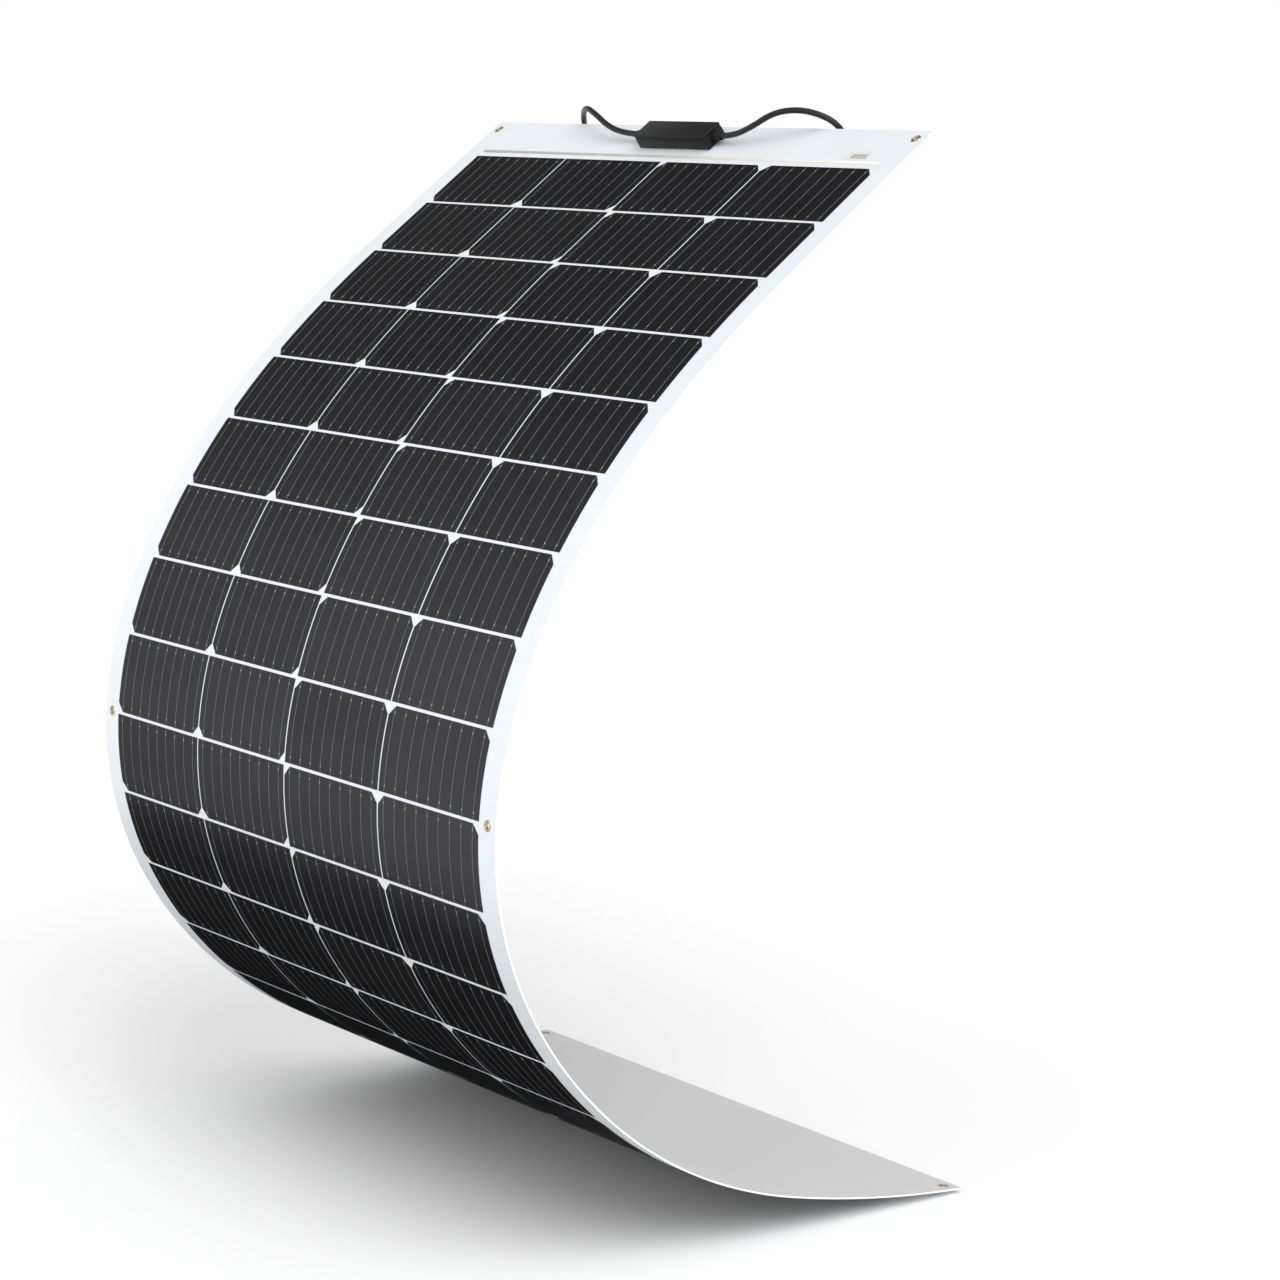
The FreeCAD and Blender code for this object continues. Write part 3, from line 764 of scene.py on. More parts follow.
# %% Cell plates
CELL_WIDE = 0.15875
CELL_TALL = 0.0794
CELL_CROP = 0.009
CELL_RISE = 0.00018
CELL_SUNK = 0.0001
COLUMNS = 4


def cell_rows(begin, finish_at):
    """The stretches of cell, row by row, that lie in a span."""
    found = []
    for row in range(ROWS):
        top = TOP_MARGIN + row * ROW_PITCH + (ROW_PITCH - CELL_TALL) / 2
        low, high = max(top, begin), min(top + CELL_TALL, finish_at)
        if high > low:
            found.append((row, top, low, high))
    return found


def half_width(depth, crop_low):
    """Half the plate's width at a depth from its upper edge."""
    from_cropped = CELL_TALL - depth if crop_low else depth
    return CELL_WIDE / 2 - max(0.0, CELL_CROP - from_cropped)


def rung_depths(low, high):
    """Even steps between two depths, with the ends of the cropped corners among them."""
    count = max(1, round((high - low) / STEP))
    depths = {round(low + (high - low) * n / count, 7) for n in range(count + 1)}
    depths |= {d for d in (CELL_CROP, CELL_TALL - CELL_CROP) if low < d < high}
    return sorted(depths)


def add_plate(points, places, faces, column, top, low, high):
    """Adds one slice, or the part of it between low and high, as four points on each rung."""
    crop_low = column < COLUMNS / 2
    middle = (column - (COLUMNS - 1) / 2) * COLUMN_PITCH
    depths = rung_depths(low - top, high - top)
    base = len(points)
    for depth in depths:
        half = half_width(depth, crop_low)
        for x, out in ((middle - half, -CELL_SUNK), (middle - half, CELL_RISE),
                       (middle + half, CELL_RISE), (middle + half, -CELL_SUNK)):
            points.append(on_sheet(x, top + depth, BOARD_FRONT + out))
            places.append((x, top + depth))
    for rung in range(len(depths) - 1):
        for corner in range(4):
            here = base + 4 * rung
            after = (corner + 1) % 4
            faces.append((here + corner, here + 4 + corner, here + 4 + after, here + after))
    end = base + 4 * (len(depths) - 1)
    faces.append(tuple(base + n for n in range(4)))
    faces.append(tuple(end + n for n in reversed(range(4))))


def plain_mesh(name, points, faces, material, places=None):
    mesh = bpy.data.meshes.new(name)
    mesh.from_pydata(points, [], faces)
    mesh.materials.append(material)
    if places:
        layer = mesh.uv_layers.new(name=SHEET_UV)
        for loop in mesh.loops:
            layer.data[loop.index].uv = places[loop.vertex_index]
    return mesh


for index, (begin, finish_at) in enumerate(spans):
    points, places, faces = [], [], []
    for row, top, low, high in cell_rows(begin, finish_at):
        for column in range(COLUMNS):
            add_plate(points, places, faces, column, top, low, high)
    if not points:
        continue
    mesh = plain_mesh(f"cell_faces_{index + 1:02d}", points, faces, silicon, places)
    smooth_by_angle(mesh)
    fit(put(mesh.name, mesh), index, "cell", f"cells_{length_number(index):02d}")
print("last span of cells has", len(faces), "faces")

# %% [markdown]
# ## Collector wires
# Nine thin wires run down every slice and are soldered at a pad near both ends. There are 648 wires and
# 1296 pads, all alike, so this is work for Geometry Nodes: sweep one strip along its path, repeat it
# nine times across the slice, and repeat that set over the four columns. A pad is the same thing as a
# wire, only shorter and wider, so one tree makes both.

# %% The strip tree
WIRES = 9
WIRE_PITCH = 0.0176
WIRE_WIDE = 0.0005
WIRE_HIGH = 0.00012
WIRE_INSET = 0.001
PAD_WIDE = 0.0013
PAD_HIGH = 0.0002
PAD_LONG = 0.002
PAD_INSET = 0.006


def across(tree, count, pitch, geometry):
    """Repeats a geometry across the sheet, centred on the middle."""
    reach = tree_node(tree, "ShaderNodeMath", {0: count, 1: 1.0}, operation="SUBTRACT")
    half = tree_node(tree, "ShaderNodeMath", {0: reach.outputs[0], 1: -0.5}, operation="MULTIPLY")
    first = tree_node(tree, "ShaderNodeMath", {0: half.outputs[0], 1: pitch}, operation="MULTIPLY")
    start_at = tree_node(tree, "ShaderNodeCombineXYZ", {"X": first.outputs[0]})
    offset = tree_node(tree, "ShaderNodeCombineXYZ", {"X": pitch})
    line = tree_node(tree, "GeometryNodeMeshLine",
                     {"Count": count, "Start Location": start_at.outputs[0], "Offset": offset.outputs[0]})
    spread = tree_node(tree, "GeometryNodeInstanceOnPoints",
                       {"Points": line.outputs[0], "Instance": geometry})
    return tree_node(tree, "GeometryNodeRealizeInstances", {"Geometry": spread.outputs[0]}).outputs[0]


def make_strip_tree(name, material):
    """Strips along the incoming path, so many across a slice and so many slices across the sheet."""
    tree, source, result = new_tree(name, {
        "Strips": WIRES, "Strip Pitch": WIRE_PITCH, "Columns": COLUMNS, "Column Pitch": COLUMN_PITCH,
        "Strip Width": WIRE_WIDE, "Strip Height": WIRE_HIGH})
    strip = tree_node(tree, "GeometryNodeCurvePrimitiveQuadrilateral",
                      {"Width": source.outputs["Strip Width"], "Height": source.outputs["Strip Height"]})
    swept = sweep_nodes(tree, source.outputs["Geometry"], strip.outputs[0])[0]
    slice_set = across(tree, source.outputs["Strips"], source.outputs["Strip Pitch"], swept)
    sheet_set = across(tree, source.outputs["Columns"], source.outputs["Column Pitch"], slice_set)
    tree.links.new(paint(tree, sheet_set, material), result.inputs[0])
    return tree


wire_tree = make_strip_tree("collector_wires", silver_wire)
pad_tree = make_strip_tree("solder_pads", solder_pad)
ribbon_tree = make_strip_tree("bus_ribbon", ribbon_tin)
print("strip tree:", len(wire_tree.nodes), "nodes")

# %% [markdown]
# The carrier of a strip tree is a set of path lines, one for each row of cells in the span. A wire stops
# just short of the slice's edges, and a pad is a short run near each end of the wire.

# %% Wires and pads on every span
PAD_SIZES = {"Strip Width": PAD_WIDE, "Strip Height": PAD_HIGH}


def strips(name, index, runs, tree, values, slot, *nodes):
    """Strips along some runs of one span, as a piece that follows that span."""
    path = path_mesh(f"{name}_path", runs, BOARD_FRONT + CELL_RISE)
    piece = grow(name, path, tree, values)
    fit(piece, index, slot, *nodes)
    return piece


strip_faces = 0
for index, (begin, finish_at) in enumerate(spans):
    wire_runs, pad_runs = [], []
    for row, top, low, high in cell_rows(begin, finish_at):
        wire_runs.append((max(low, top + WIRE_INSET), min(high, top + CELL_TALL - WIRE_INSET)))
        ends = (top + PAD_INSET, top + CELL_TALL - PAD_INSET)
        pad_runs += [(end - PAD_LONG / 2, end + PAD_LONG / 2) for end in ends if low < end < high]
    if not wire_runs:
        continue
    wires = strips(f"wires_{index + 1:02d}", index, wire_runs, wire_tree, {}, "ribbon")
    pads = strips(f"solder_pads_{index + 1:02d}", index, pad_runs, pad_tree, PAD_SIZES, "ribbon")
    strip_faces += len(wires.data.polygons) + len(pads.data.polygons)
print("wire and pad faces:", strip_faces)

# %% [markdown]
# ## Bus ribbons and the label
# A flat tinned ribbon crosses the sheet above the first row and another below the last one: they gather
# the current of all columns. They are the same kind of strip as the wires, only one, and turned to run
# across. The label is a plain thin sticker with rounded corners and a grey panel, and has no lettering.

# %% Ribbons and label
RIBBON_GAP = 0.005
RIBBON_WIDE = 0.004
RIBBON_LONG = 0.636
RIBBON_HIGH = 0.0002
cells_end = TOP_MARGIN + ROWS * ROW_PITCH
RIBBON_SIZES = {"Strips": 1, "Columns": 1, "Strip Width": RIBBON_LONG, "Strip Height": RIBBON_HIGH}
ribbon_runs = {
    "bus_ribbon_top": (0, TOP_MARGIN - RIBBON_GAP - RIBBON_WIDE, TOP_MARGIN - RIBBON_GAP),
    "bus_ribbon_bottom": (len(spans) - 1, cells_end + RIBBON_GAP, cells_end + RIBBON_GAP + RIBBON_WIDE)}
for node, (index, begin, finish_at) in ribbon_runs.items():
    strips(f"{node}_strip", index, [(begin, finish_at)], ribbon_tree, RIBBON_SIZES, "ribbon", node)

LABEL_X = (0.262, 0.296)
LABEL_DOWN = (0.034, 0.047)
LABEL_HIGH = 0.00015
LABEL_ROUND = 0.0015


def rounded_outline(low, high, radius, count=5):
    """A rectangle with round corners, as (x, down) points in order."""
    points = []
    corners = ((high[0], high[1]), (low[0], high[1]), (low[0], low[1]), (high[0], low[1]))
    for quarter, (x, y) in enumerate(corners):
        centre = (x - radius * (1 if x == high[0] else -1), y - radius * (1 if y == high[1] else -1))
        for step in range(count + 1):
            angle = QUARTER * (quarter + step / count)
            points.append((centre[0] + radius * math.cos(angle), centre[1] + radius * math.sin(angle)))
    return points


def sticker(name, x_range, down_range, out, high, radius, material):
    """A thin sticker on the flat top of the sheet, from its lower face at out to its own height."""
    outline = rounded_outline((x_range[0], down_range[0]), (x_range[1], down_range[1]), radius)
    count = len(outline)
    points = [on_sheet(x, down, out + rise) for rise in (0, high) for x, down in outline]
    faces = [list(range(count)), list(range(2 * count - 1, count - 1, -1))]
    faces += [[n, count + n, count + (n + 1) % count, (n + 1) % count] for n in range(count)]
    return put(name, plain_mesh(name, points, faces, material))


label = sticker("plain_label", LABEL_X, LABEL_DOWN, BOARD_FRONT, LABEL_HIGH, LABEL_ROUND, label_paper)
fit(label, 0, "label", "rating_label")
PANEL_INSET = 0.004
panel = sticker("label_panel", (LABEL_X[0] + 2 * PANEL_INSET, LABEL_X[1] - PANEL_INSET),
                (LABEL_DOWN[0] + PANEL_INSET, LABEL_DOWN[1] - PANEL_INSET / 2),
                BOARD_FRONT + LABEL_HIGH, LABEL_HIGH / 3, LABEL_ROUND / 3, label_ink)
fit(panel, 0, "label")
print("label", round((LABEL_X[1] - LABEL_X[0]) * 1000), "mm long")

# %% [markdown]
# ## Eyelets
# A brass eyelet is a tube pressed through the board. Its front is rolled into a round flange and its
# back is folded over a flat washer. Both are round, so each is a profile turned about an axis. The
# middle pair sits where the sheet bends and, like the board under it, follows no body of the frame.

# %% Turn a profile


def turned(profile, count, place, points, faces):
    """Adds the surface of a closed profile of (radius, height) pairs turned about local Z."""
    base = len(points)
    for radius, height in profile:
        points += [place @ Vector(p) for p in ring_points(radius, count, height)]
    rings = len(profile)
    for ring in range(rings):
        after = (ring + 1) % rings
        for n in range(count):
            right = (n + 1) % count
            faces.append([base + ring * count + n, base + ring * count + right,
                          base + after * count + right, base + after * count + n])


def arc_profile(centre, radius, begin, end, steps):
    """Points on an arc in the (radius, height) plane; angles in quarter turns."""
    return [(centre[0] + radius * math.cos(QUARTER * (begin + (end - begin) * n / steps)),
             centre[1] + radius * math.sin(QUARTER * (begin + (end - begin) * n / steps)))
            for n in range(steps + 1)]


def fix_normals(mesh):
    """Turns every face outwards and merges doubled points."""
    work = bmesh.new()
    work.from_mesh(mesh)
    bmesh.ops.remove_doubles(work, verts=work.verts, dist=1e-6)
    bmesh.ops.recalc_face_normals(work, faces=work.faces)
    work.to_mesh(mesh)
    work.free()


def round_piece(name, parts, material, count=40):
    """One piece from turned profiles: parts are (profile, place)."""
    points, faces = [], []
    for profile, place in parts:
        turned(profile, count, place, points, faces)
    mesh = plain_mesh(name, points, faces, material)
    fix_normals(mesh)
    smooth_by_angle(mesh)
    return put(name, mesh)


def join(first, *others):
    """Puts other mesh objects into the first one."""
    bpy.ops.object.select_all(action="DESELECT")
    for thing in (first, *others):
        thing.select_set(True)
    bpy.context.view_layer.objects.active = first
    bpy.ops.object.join()
    first.select_set(False)
    return first


print("profile tools ready")

# %% [markdown]
# The eyelet's profile is two flattened half rounds, the flange in front and the lip behind, joined by
# the tube. The washer lies between the board and the lip. Both finish the hole that was punched above.

# %% Eyelets and washers
BORE = 0.00275
FLANGE = 0.00525
WALL = 0.0004
WASHER_OUTER = 0.0055
WASHER_INNER = 0.0032
WASHER_THICK = 0.0005
LIP_OUTER = 0.0043
ROLL_FLATNESS = 0.55


def flattened(points, height):
    """Presses a rolled edge closer to the height that it rests on."""
    return [(radius, height + (h - height) * ROLL_FLATNESS) for radius, h in points]


def eyelet_profile():
    """Rolled flange in front, tube through the board, folded lip behind the washer."""
    top = BOARD_FRONT
    under = -BOARD_BACK - WASHER_THICK
    roll = (FLANGE - BORE) / 2
    lip = (LIP_OUTER - BORE) / 2
    front_roll = flattened(arc_profile((BORE + roll, top), roll, 0, 2, 10), top)
    lip_roll = flattened(arc_profile((BORE + lip, under), lip, 2, 4, 8), under)
    return front_roll + lip_roll + [(BORE + WALL, under), (BORE + WALL, top)]


WASHER_PROFILE = [(WASHER_INNER, 0), (WASHER_OUTER, 0), (WASHER_OUTER, -WASHER_THICK * 0.8),
                  (WASHER_OUTER - WASHER_THICK * 0.2, -WASHER_THICK), (WASHER_INNER, -WASHER_THICK)]
EYE_SPAN = {pair: next(n for n, (begin, finish_at) in enumerate(spans) if begin < down < finish_at)
            for pair, down in EYE_DOWN.items()}
for pair, down in EYE_DOWN.items():
    places = [sheet_matrix(x, down) for x in (-EYE_X, EYE_X)]
    rings = round_piece(f"brass_{pair}", [(eyelet_profile(), place) for place in places], brass)
    behind = [place @ Matrix.Translation((0, 0, -BOARD_BACK)) for place in places]
    discs = round_piece(f"back_washers_{pair}", [(WASHER_PROFILE, place) for place in behind], brass)
    fit(rings, EYE_SPAN[pair], "brass", f"eyelets_{pair}")
    fit(discs, EYE_SPAN[pair], "brass", f"washers_{pair}")
print("eyelet pairs follow spans", EYE_SPAN)

# %% [markdown]
# ## The junction box
# A slim moulded box glued on the top margin, its lid set on a narrow neck so that a hairline seam shows
# between them. A Bevel modifier rounds every edge by a fixed amount, as a mould does. It is applied at
# once, so the piece is a plain mesh like all others.

# %% Box and lid
BOX_LONG = 0.112
BOX_WIDE = 0.026
BOX_TALL = 0.013
PAD_THICK = 0.0008
LID_TALL = 0.0032
SEAM = 0.0004
NECK_INSET = 0.002
DRAFT = 0.0006
BASE_ROUND = 0.0008
LID_ROUND = 0.0009
MOULDED_SHARP = 40


def tapered_block(low, high, foot, head):
    """Eight corners between two heights; foot and head are (length, width) of the two ends."""
    corners = []
    for height, (long, wide) in ((low, foot), (high, head)):
        corners += [(sx * long / 2, sy * wide / 2, height) for sx, sy in ((-1, -1), (1, -1), (1, 1), (-1, 1))]
    faces = [(3, 2, 1, 0), (4, 5, 6, 7), (0, 1, 5, 4), (1, 2, 6, 5), (2, 3, 7, 6), (3, 0, 4, 7)]
    return corners, faces


def moulded(name, blocks, material, place, radius, segments=3):
    """A piece from tapered blocks with all its edges rounded, set in its place."""
    points, faces = [], []
    for corners, block_faces in blocks:
        base = len(points)
        points += corners
        faces += [tuple(base + n for n in face) for face in block_faces]
    piece = put(name, plain_mesh(name, points, faces, material))
    rounding = piece.modifiers.new("rounding", "BEVEL")
    rounding.width = radius
    rounding.segments = segments
    rounding.limit_method = "ANGLE"
    settle(piece)
    piece.data.transform(place)
    smooth_by_angle(piece.data, MOULDED_SHARP)
    return piece


def box_outline(inset=0.0):
    """Length and width of the box, drawn in by an inset."""
    return BOX_LONG - inset, BOX_WIDE - inset


box_place = sheet_matrix(0, BOX_DOWN, BOARD_FRONT)
neck_outline = box_outline(NECK_INSET)
base_block = tapered_block(PAD_THICK, BOX_TALL - SEAM, box_outline(), box_outline(DRAFT))
neck_block = tapered_block(BOX_TALL - 2 * SEAM, BOX_TALL + SEAM, neck_outline, neck_outline)
lid_block = tapered_block(BOX_TALL, BOX_TALL + LID_TALL, box_outline(), box_outline(DRAFT))
shell = moulded("box_shell", [base_block, neck_block], box_plastic, box_place, BASE_ROUND)
cover = moulded("box_cover", [lid_block], lid_plastic, box_place, LID_ROUND)
fit(shell, 0, "black", "box_base")
fit(cover, 0, "black", "box_lid")
print("junction box", [round(v, 4) for v in (BOX_LONG, BOX_WIDE, BOX_TALL + LID_TALL)])

# %% [markdown]
# ## Cable outlets and connectors
# The cable leaves each end of the box through a nut with grip ribs and a tapered sleeve, which spreads
# the bend. A connector has the same kind of ribbed nut, so the ribs are one tree: a small bar repeated
# round a circle.

# %% The rib tree


def make_rib_tree():
    """A bar at each point of a circle, its width along the circle and its length along the axis."""
    tree, source, result = new_tree("grip_ribs", {
        "Ribs": 14, "Radius": 0.005, "Rib Width": 0.001, "Rib Depth": 0.0008, "Rib Length": 0.005})
    sizes = source.outputs
    circle = tree_node(tree, "GeometryNodeMeshCircle", {"Vertices": sizes["Ribs"], "Radius": sizes["Radius"]})
    size = tree_node(tree, "ShaderNodeCombineXYZ",
                     {"X": sizes["Rib Depth"], "Y": sizes["Rib Width"], "Z": sizes["Rib Length"]})
    bar = tree_node(tree, "GeometryNodeMeshCube", {"Size": size.outputs[0]})
    place = tree_node(tree, "GeometryNodeInputPosition")
    outward = tree_node(tree, "FunctionNodeAlignRotationToVector", {"Vector": place.outputs[0]}, axis="X")
    spread = tree_node(tree, "GeometryNodeInstanceOnPoints",
                       {"Points": circle.outputs[0], "Instance": bar.outputs[0],
                        "Rotation": outward.outputs[0]})
    solid = tree_node(tree, "GeometryNodeRealizeInstances", {"Geometry": spread.outputs[0]})
    tree.links.new(paint(tree, solid.outputs[0], plug_plastic), result.inputs[0])
    return tree


rib_tree = make_rib_tree()


def empty_mesh(name):
    """A carrier for a tree that needs no path: one lone point."""
    mesh = bpy.data.meshes.new(name)
    mesh.from_pydata([(0, 0, 0)], [], [])
    return mesh


def ribbed(name, profile, ribs, height, material, place):
    """A turned piece with a ring of ribs at a height along its axis."""
    body = round_piece(name, [(profile, place)], material)
    ring = grow(f"{name}_ribs", empty_mesh(f"{name}_ribs"), rib_tree, ribs)
    ring.data.transform(place @ Matrix.Translation((0, 0, height)))
    ring.data.materials.clear()
    ring.data.materials.append(material)
    return join(body, ring)


print("rib tree:", len(rib_tree.nodes), "nodes")

# %% [markdown]
# The outlet is one profile turned about the cable's axis: the nut's body, a shoulder, and the sleeve
# that thins towards the cable. The ring of ribs goes round the nut's half.

# %% Outlets on the ends of the box
OUTLET_LONG = 0.012
OUTLET_WIDE = 0.0056
OUTLET_END = 0.004
OUTLET_BORE = 0.0031
NUT_RIBS = {"Ribs": 16, "Radius": 0.0051, "Rib Width": 0.0009, "Rib Depth": 0.0009, "Rib Length": 0.0046}
half_out = OUTLET_LONG / 2
OUTLET_PROFILE = (
    [(OUTLET_BORE, 0), (OUTLET_WIDE - 0.0005, 0)]
    + arc_profile((OUTLET_WIDE - 0.0009, half_out - 0.0004), 0.0004, 0, 1, 4)
    + [(OUTLET_END + 0.0007, half_out), (OUTLET_END + 0.0004, half_out + 0.002),
       (OUTLET_END, OUTLET_LONG - 0.0006)]
    + arc_profile((OUTLET_END - 0.0005, OUTLET_LONG - 0.0005), 0.0005, 0, 1, 4)
    + [(OUTLET_BORE, OUTLET_LONG)])
SIDES = {"left": -1, "right": 1}
for side, way in SIDES.items():
    sideways = Matrix.Rotation(way * QUARTER, 4, "Y")
    place = sheet_matrix(way * BOX_LONG / 2, BOX_DOWN, EXIT_UP) @ sideways
    outlet = ribbed(f"outlet_{side}", OUTLET_PROFILE, NUT_RIBS, half_out / 2, box_plastic, place)
    fit(outlet, 0, "black", f"cable_outlet_{side}")
print("outlets", list(SIDES))

# %% [markdown]
# A solar connector hangs from the end of each coil. One is slim with two spring arms, the other is wide
# with a socket and two keeper ribs, so that they mate. Each is a ribbed cap nut, a turned body whose nose
# holds the metal contact, and two small moulded arms.

# %% Connectors on the leads
CAP_LONG = 0.015
PLUG_LONG = 0.027
PLUG_RADIUS = 0.0075
NOSE_LONG = 0.016
NOSE_RADIUS = {"left": 0.0052, "right": 0.0086}
NOSE_BORE = {"left": 0.0022, "right": 0.0056}
CAP_GRIP = 0.01
CAP_RIBS = {"Ribs": 18, "Radius": 0.0076, "Rib Width": 0.0012, "Rib Depth": 0.0011, "Rib Length": 0.0085}
CAP_RIB_HEIGHT = 0.0098
CAP_PROFILE = (
    [(OUTLET_BORE, 0)] + arc_profile((0.0050, 0.0010), 0.0010, -1, 0, 4)
    + [(0.0068, 0.0034), (0.0076, 0.0046), (0.0076, CAP_LONG - 0.0006), (0.0070, CAP_LONG),
       (OUTLET_BORE, CAP_LONG)])
LATCHES = {
    "left": {"reach": PLUG_RADIUS - 0.0006, "low": 0.0195, "high": 0.0385, "wide": 0.0048},
    "right": {"reach": NOSE_RADIUS["right"] - 0.0002, "low": 0.0275, "high": 0.0400, "wide": 0.0030}}
LATCH_FOOT = 0.0016
LATCH_HEAD = 0.0012
LATCH_ROUND = 0.0003


def body_profile(side):
    """The grip body, its waist and shoulder, and the nose with its bore."""
    nose = NOSE_RADIUS[side]
    tip = PLUG_LONG + NOSE_LONG
    return [(0.0022, 0), (0.0066, 0), (0.0068, 0.001), (0.0066, 0.003), (PLUG_RADIUS, 0.005),
            (PLUG_RADIUS, 0.0095), (0.0068, 0.0115), (0.0068, 0.0185), (PLUG_RADIUS, 0.0205),
            (PLUG_RADIUS, PLUG_LONG - 0.0005), (PLUG_RADIUS - 0.0005, PLUG_LONG), (nose, PLUG_LONG + 0.0001),
            (nose, tip - 0.0006), (nose - 0.0006, tip), (NOSE_BORE[side], tip),
            (NOSE_BORE[side], PLUG_LONG - 0.002), (0.0022, PLUG_LONG - 0.0021)]


def add_latches(body, side, place):
    """Two spring arms on the slim connector, two keeper ribs on the wide one."""
    latch = LATCHES[side]
    foot = (LATCH_FOOT, latch["wide"])
    head = (LATCH_HEAD, latch["wide"] * 0.8)
    corners, faces = tapered_block(latch["low"], latch["high"], foot, head)
    blocks = [([(x + way * latch["reach"], y, z) for x, y, z in corners], faces) for way in (-1, 1)]
    join(body, moulded(f"{body.name}_arms", blocks, plug_plastic, place, LATCH_ROUND, 2))


upside_down = Matrix.Rotation(math.pi, 4, "X")
cap_top = TAIL_END + CAP_GRIP
for side in ROUTE:
    x = tail_points(side)[-1].x
    cap_place = Matrix.Translation((x, COIL_Y, cap_top)) @ upside_down
    cap = ribbed(f"plug_nut_{side}", CAP_PROFILE, CAP_RIBS, CAP_RIB_HEIGHT, plug_plastic, cap_place)
    body_place = Matrix.Translation((x, COIL_Y, cap_top - CAP_LONG)) @ upside_down
    body = round_piece(f"plug_body_{side}", [(body_profile(side), body_place)], plug_plastic)
    add_latches(body, side, body_place)
    fit(cap, 0, "black", f"connector_cap_{side}")
    fit(body, 0, "black", f"connector_body_{side}")
print("connectors hang down to z =", round(cap_top - CAP_LONG - PLUG_LONG - NOSE_LONG, 3))

# %% [markdown]
# ## Cable ties
# A narrow nylon tie holds the two strands of each coil together at its lowest point. It is a flat band
# round a long oval, with a small square lock. Four rings of points give the band's edges, and one loop
# joins them with faces.

# %% Ties
TIE_WIDE = 0.0036
TIE_THICK = 0.001
TIE_GAP = 0.0002
OVAL_RADIUS = CABLE_RADIUS + TIE_GAP
OVAL_STEPS = 12
LOCK_FOOT = (0.0052, 0.0046)
LOCK_HEAD = (0.0056, 0.005)
LOCK_RISE = (-0.0028, 0.0004)
LOCK_ROUND = 0.0005


def oval(radius):
    """A long oval round the two strands, in the plane across the bundle: (towards +Y, outward)."""
    ends = []
    for centre, begin in ((STRAND_APART, -1), (-STRAND_APART, 1)):
        ends += arc_profile((centre, 0), radius, begin, begin + 2, OVAL_STEPS)
    return ends


def tie(side):
    """The band as four rings of points, and its lock under the lowest point of the coil."""
    inner, outer = oval(OVAL_RADIUS), oval(OVAL_RADIUS + TIE_THICK)
    count = len(inner)
    lowest = COIL_CENTRE[side] - Vector((0, 0, COIL_RADIUS[side]))
    points = [lowest + Vector((x, y, z)) for x in (-TIE_WIDE / 2, TIE_WIDE / 2)
              for y, z in inner + outer]
    faces = []
    for n in range(count):
        after = (n + 1) % count
        near_in, near_out = n, count + n
        far_in, far_out = 2 * count + n, 3 * count + n
        shift = after - n
        faces += [(near_in, near_out, near_out + shift, near_in + shift),
                  (far_in, far_in + shift, far_out + shift, far_out),
                  (near_out, far_out, far_out + shift, near_out + shift),
                  (near_in, near_in + shift, far_in + shift, far_in)]
    name = f"tie_band_{side}"
    mesh = plain_mesh(name, points, faces, tie_nylon)
    fix_normals(mesh)
    smooth_by_angle(mesh)
    band = put(name, mesh)
    lock_place = Matrix.Translation(lowest + Vector((0, 0, -OVAL_RADIUS - TIE_THICK)))
    lock_block = tapered_block(*LOCK_RISE, LOCK_FOOT, LOCK_HEAD)
    lock = moulded(f"{name}_lock", [lock_block], tie_nylon, lock_place, LOCK_ROUND, 2)
    return join(band, lock)


ties = {side: tie(side) for side in ROUTE}
for side, band in ties.items():
    fit(band, 0, "black", f"coil_tie_{side}")
print("ties", list(ties))

# %% [markdown]
# Each lead gets its jacket finish and stands for its cable and its coil in the frame.

# %% Leads
for side, lead in leads.items():
    lead.data.materials.append(jacket)
    fit(lead, 0, "cable", f"cable_{side}", f"cable_coil_{side}")

# %% [markdown]
# ## Finishes for what the frame already shapes
# The foam pad, the sealant, the small metal parts inside the box and the contacts keep their frame
# shapes. They only need their own finish, put in the material slots of the frame's objects.

# %% Finish the frame's own pieces
KEPT = {"adhesive_pad": foam, "box_potting": sealant, "terminal_plates": tin, "bypass_diodes": diode_resin,
        "connector_contact_left": tin, "connector_contact_right": tin}
for node, material in KEPT.items():
    thing = frame["nodes"][node]
    thing.data.materials.clear()
    thing.data.materials.append(material)
print("kept from the frame:", sorted(KEPT))

# %% [markdown]
# ## Floor and light
# The floor is a wide plain sheet of near-white card just under the lowest point. A black flag lies on it
# where the lowest rows mirror it, seen by reflections only: studios use such cards to keep a glossy
# black surface black.

# %% Floor
FLOOR_DROP = 0.004
FLOOR_HALF = 60.0
floor_z = cad_box[0].z - FLOOR_DROP
card = finish("floor_card", (0.92, 0.92, 0.92), 0.9, specular=0.1)
FLAG_X = (-1.1, 0.25)
FLAG_Y = (-0.85, -0.05)
FLAG_RISE = 0.002
flag_black = finish("flag_black", (0.01, 0.01, 0.01), 0.9, specular=0.0)


def flat_card(name, x_range, y_range, z, material):
    """A level rectangle that belongs to the studio, not to the sheet."""
    (left, right), (near, far) = x_range, y_range
    points = [(left, near, z), (right, near, z), (right, far, z), (left, far, z)]
    laid = put(name, plain_mesh(name, points, [(0, 1, 2, 3)], material))
    return laid


flat_card("floor", (-FLOOR_HALF, FLOOR_HALF), (-FLOOR_HALF, FLOOR_HALF), floor_z, card)
flag = flat_card("black_flag", FLAG_X, FLAG_Y, floor_z + FLAG_RISE, flag_black)
flag.visible_camera = False
flag.visible_diffuse = False
flag.visible_shadow = False
bpy.context.scene.view_settings.view_transform = "Standard"
print("floor at z =", round(floor_z, 4))

# %% [markdown]
# A soft dome of light is brighter in front of the sheet than behind it: then the middle rows catch a
# grey sheen in their film, and the top rows, which mirror the upper left, stay almost black. A band at
# the horizon lights the floor evenly, and the camera itself sees plain white. One broad lamp from the
# upper right makes the soft shadows.

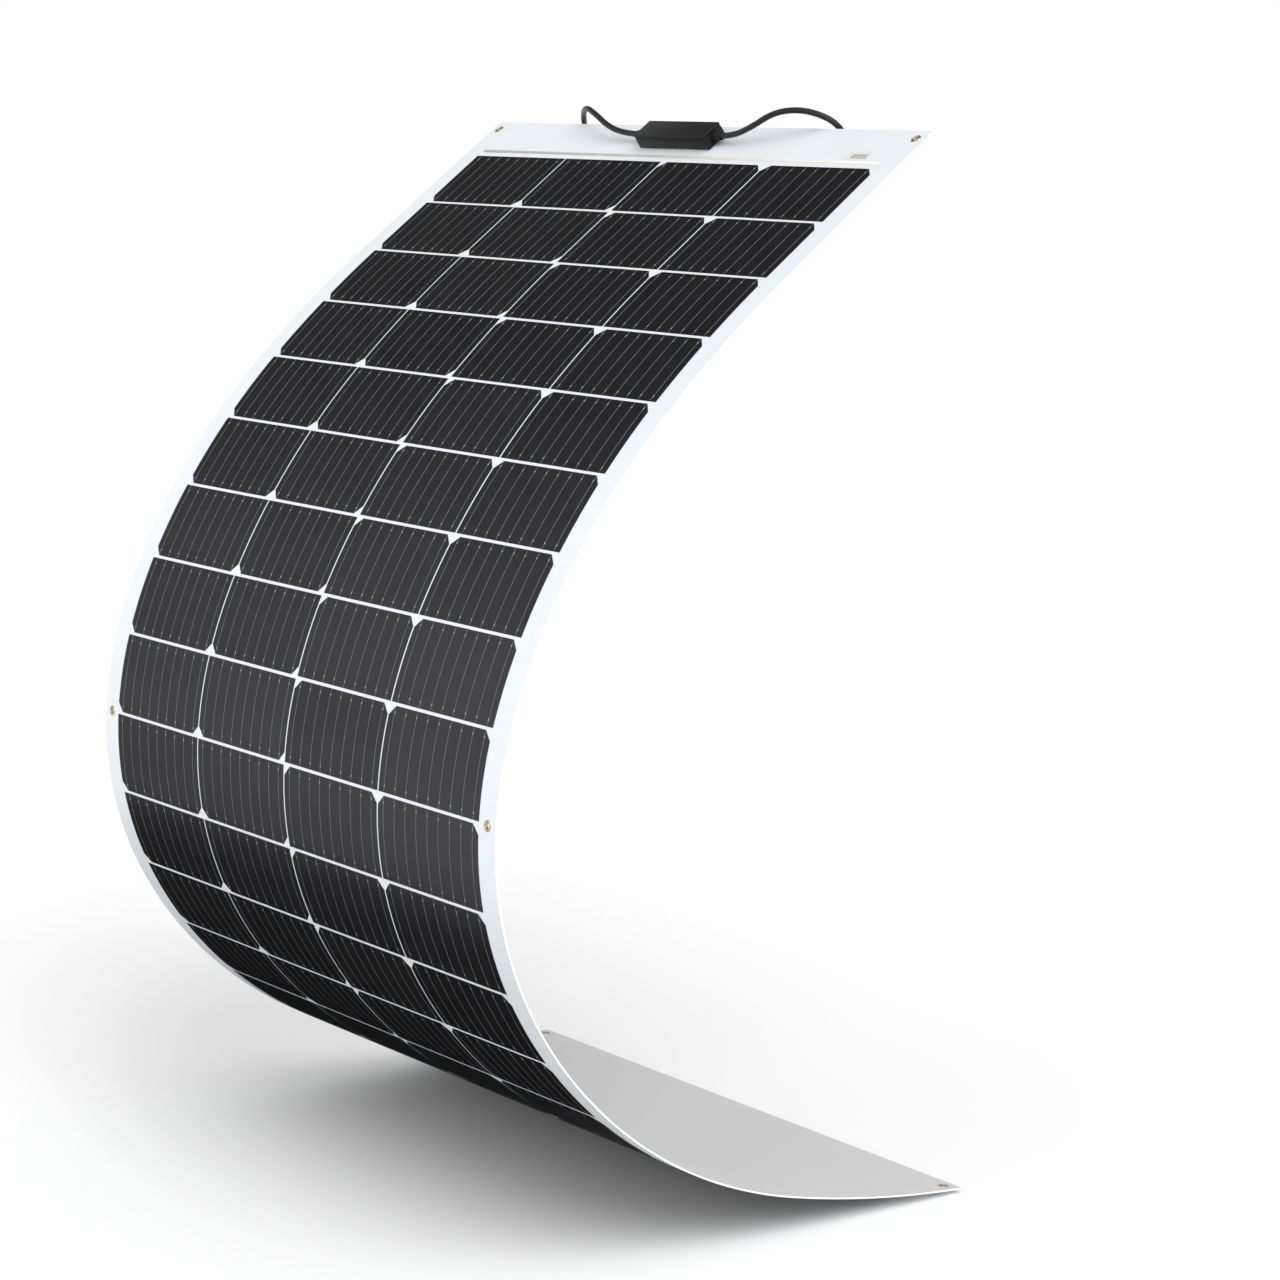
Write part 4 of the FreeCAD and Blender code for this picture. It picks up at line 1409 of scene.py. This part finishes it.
# %% Dome and lamp
DOME_BRIGHT_WAY = Vector((0.6, -0.75, 0.28)).normalized()
DOME_LOW = 0.1
DOME_HIGH = 1.4
DOME_EDGE = (-0.3, 0.7)
HORIZON = 0.9
HORIZON_EDGE = (0.25, 0.72)
BACKDROP = 1.0
world = bpy.data.worlds.new("studio")
bpy.context.scene.world = world
world.use_nodes = True
sky = world.node_tree
background = sky.nodes["Background"]
background.inputs["Color"].default_value = (1, 1, 1, 1)


def sky_node(kind, links=None, **settings):
    return tree_node(sky, kind, links, **settings)


def ramp(value, begin, finish_at, low, high):
    """A soft step from low to high."""
    links = {"Value": value, "From Min": begin, "From Max": finish_at, "To Min": low, "To Max": high}
    return sky_node("ShaderNodeMapRange", links, interpolation_type="SMOOTHSTEP").outputs[0]


way_seen = sky_node("ShaderNodeTexCoord").outputs["Generated"]
towards = sky_node("ShaderNodeVectorMath", {0: way_seen, 1: DOME_BRIGHT_WAY}, operation="DOT_PRODUCT")
height = sky_node("ShaderNodeSeparateXYZ", {0: way_seen}).outputs["Z"]
softbox = ramp(towards.outputs["Value"], *DOME_EDGE, DOME_LOW, DOME_HIGH)
horizon = ramp(height, *HORIZON_EDGE, HORIZON, 0.0)
dome = sky_node("ShaderNodeMath", {0: softbox, 1: horizon}, operation="MAXIMUM").outputs[0]
seen = sky_node("ShaderNodeLightPath").outputs["Is Camera Ray"]
pick = sky_node("ShaderNodeMix", {0: seen, 2: dome, 3: BACKDROP}).outputs[0]
sky.links.new(pick, background.inputs["Strength"])

LAMP_WAY = Vector((0.95, -0.3, 1.0))
LAMP_DISTANCE = 3
LAMP_STRENGTH = 1.5
LAMP_SPREAD = math.radians(40)
lamp = bpy.data.lights.new("key_light", "SUN")
lamp.energy = LAMP_STRENGTH
lamp.angle = LAMP_SPREAD
holder = put("key_light", lamp)
holder.location = LAMP_WAY * LAMP_DISTANCE
holder.rotation_mode = "QUATERNION"
holder.rotation_quaternion = LAMP_WAY.to_track_quat("Z", "Y")
print("dome from", DOME_LOW, "to", DOME_HIGH)

# %% [markdown]
# ## The frame's box
# The box of the frame is printed.

print("frame box", [round(c, 3) for corner in cad_box for c in corner])
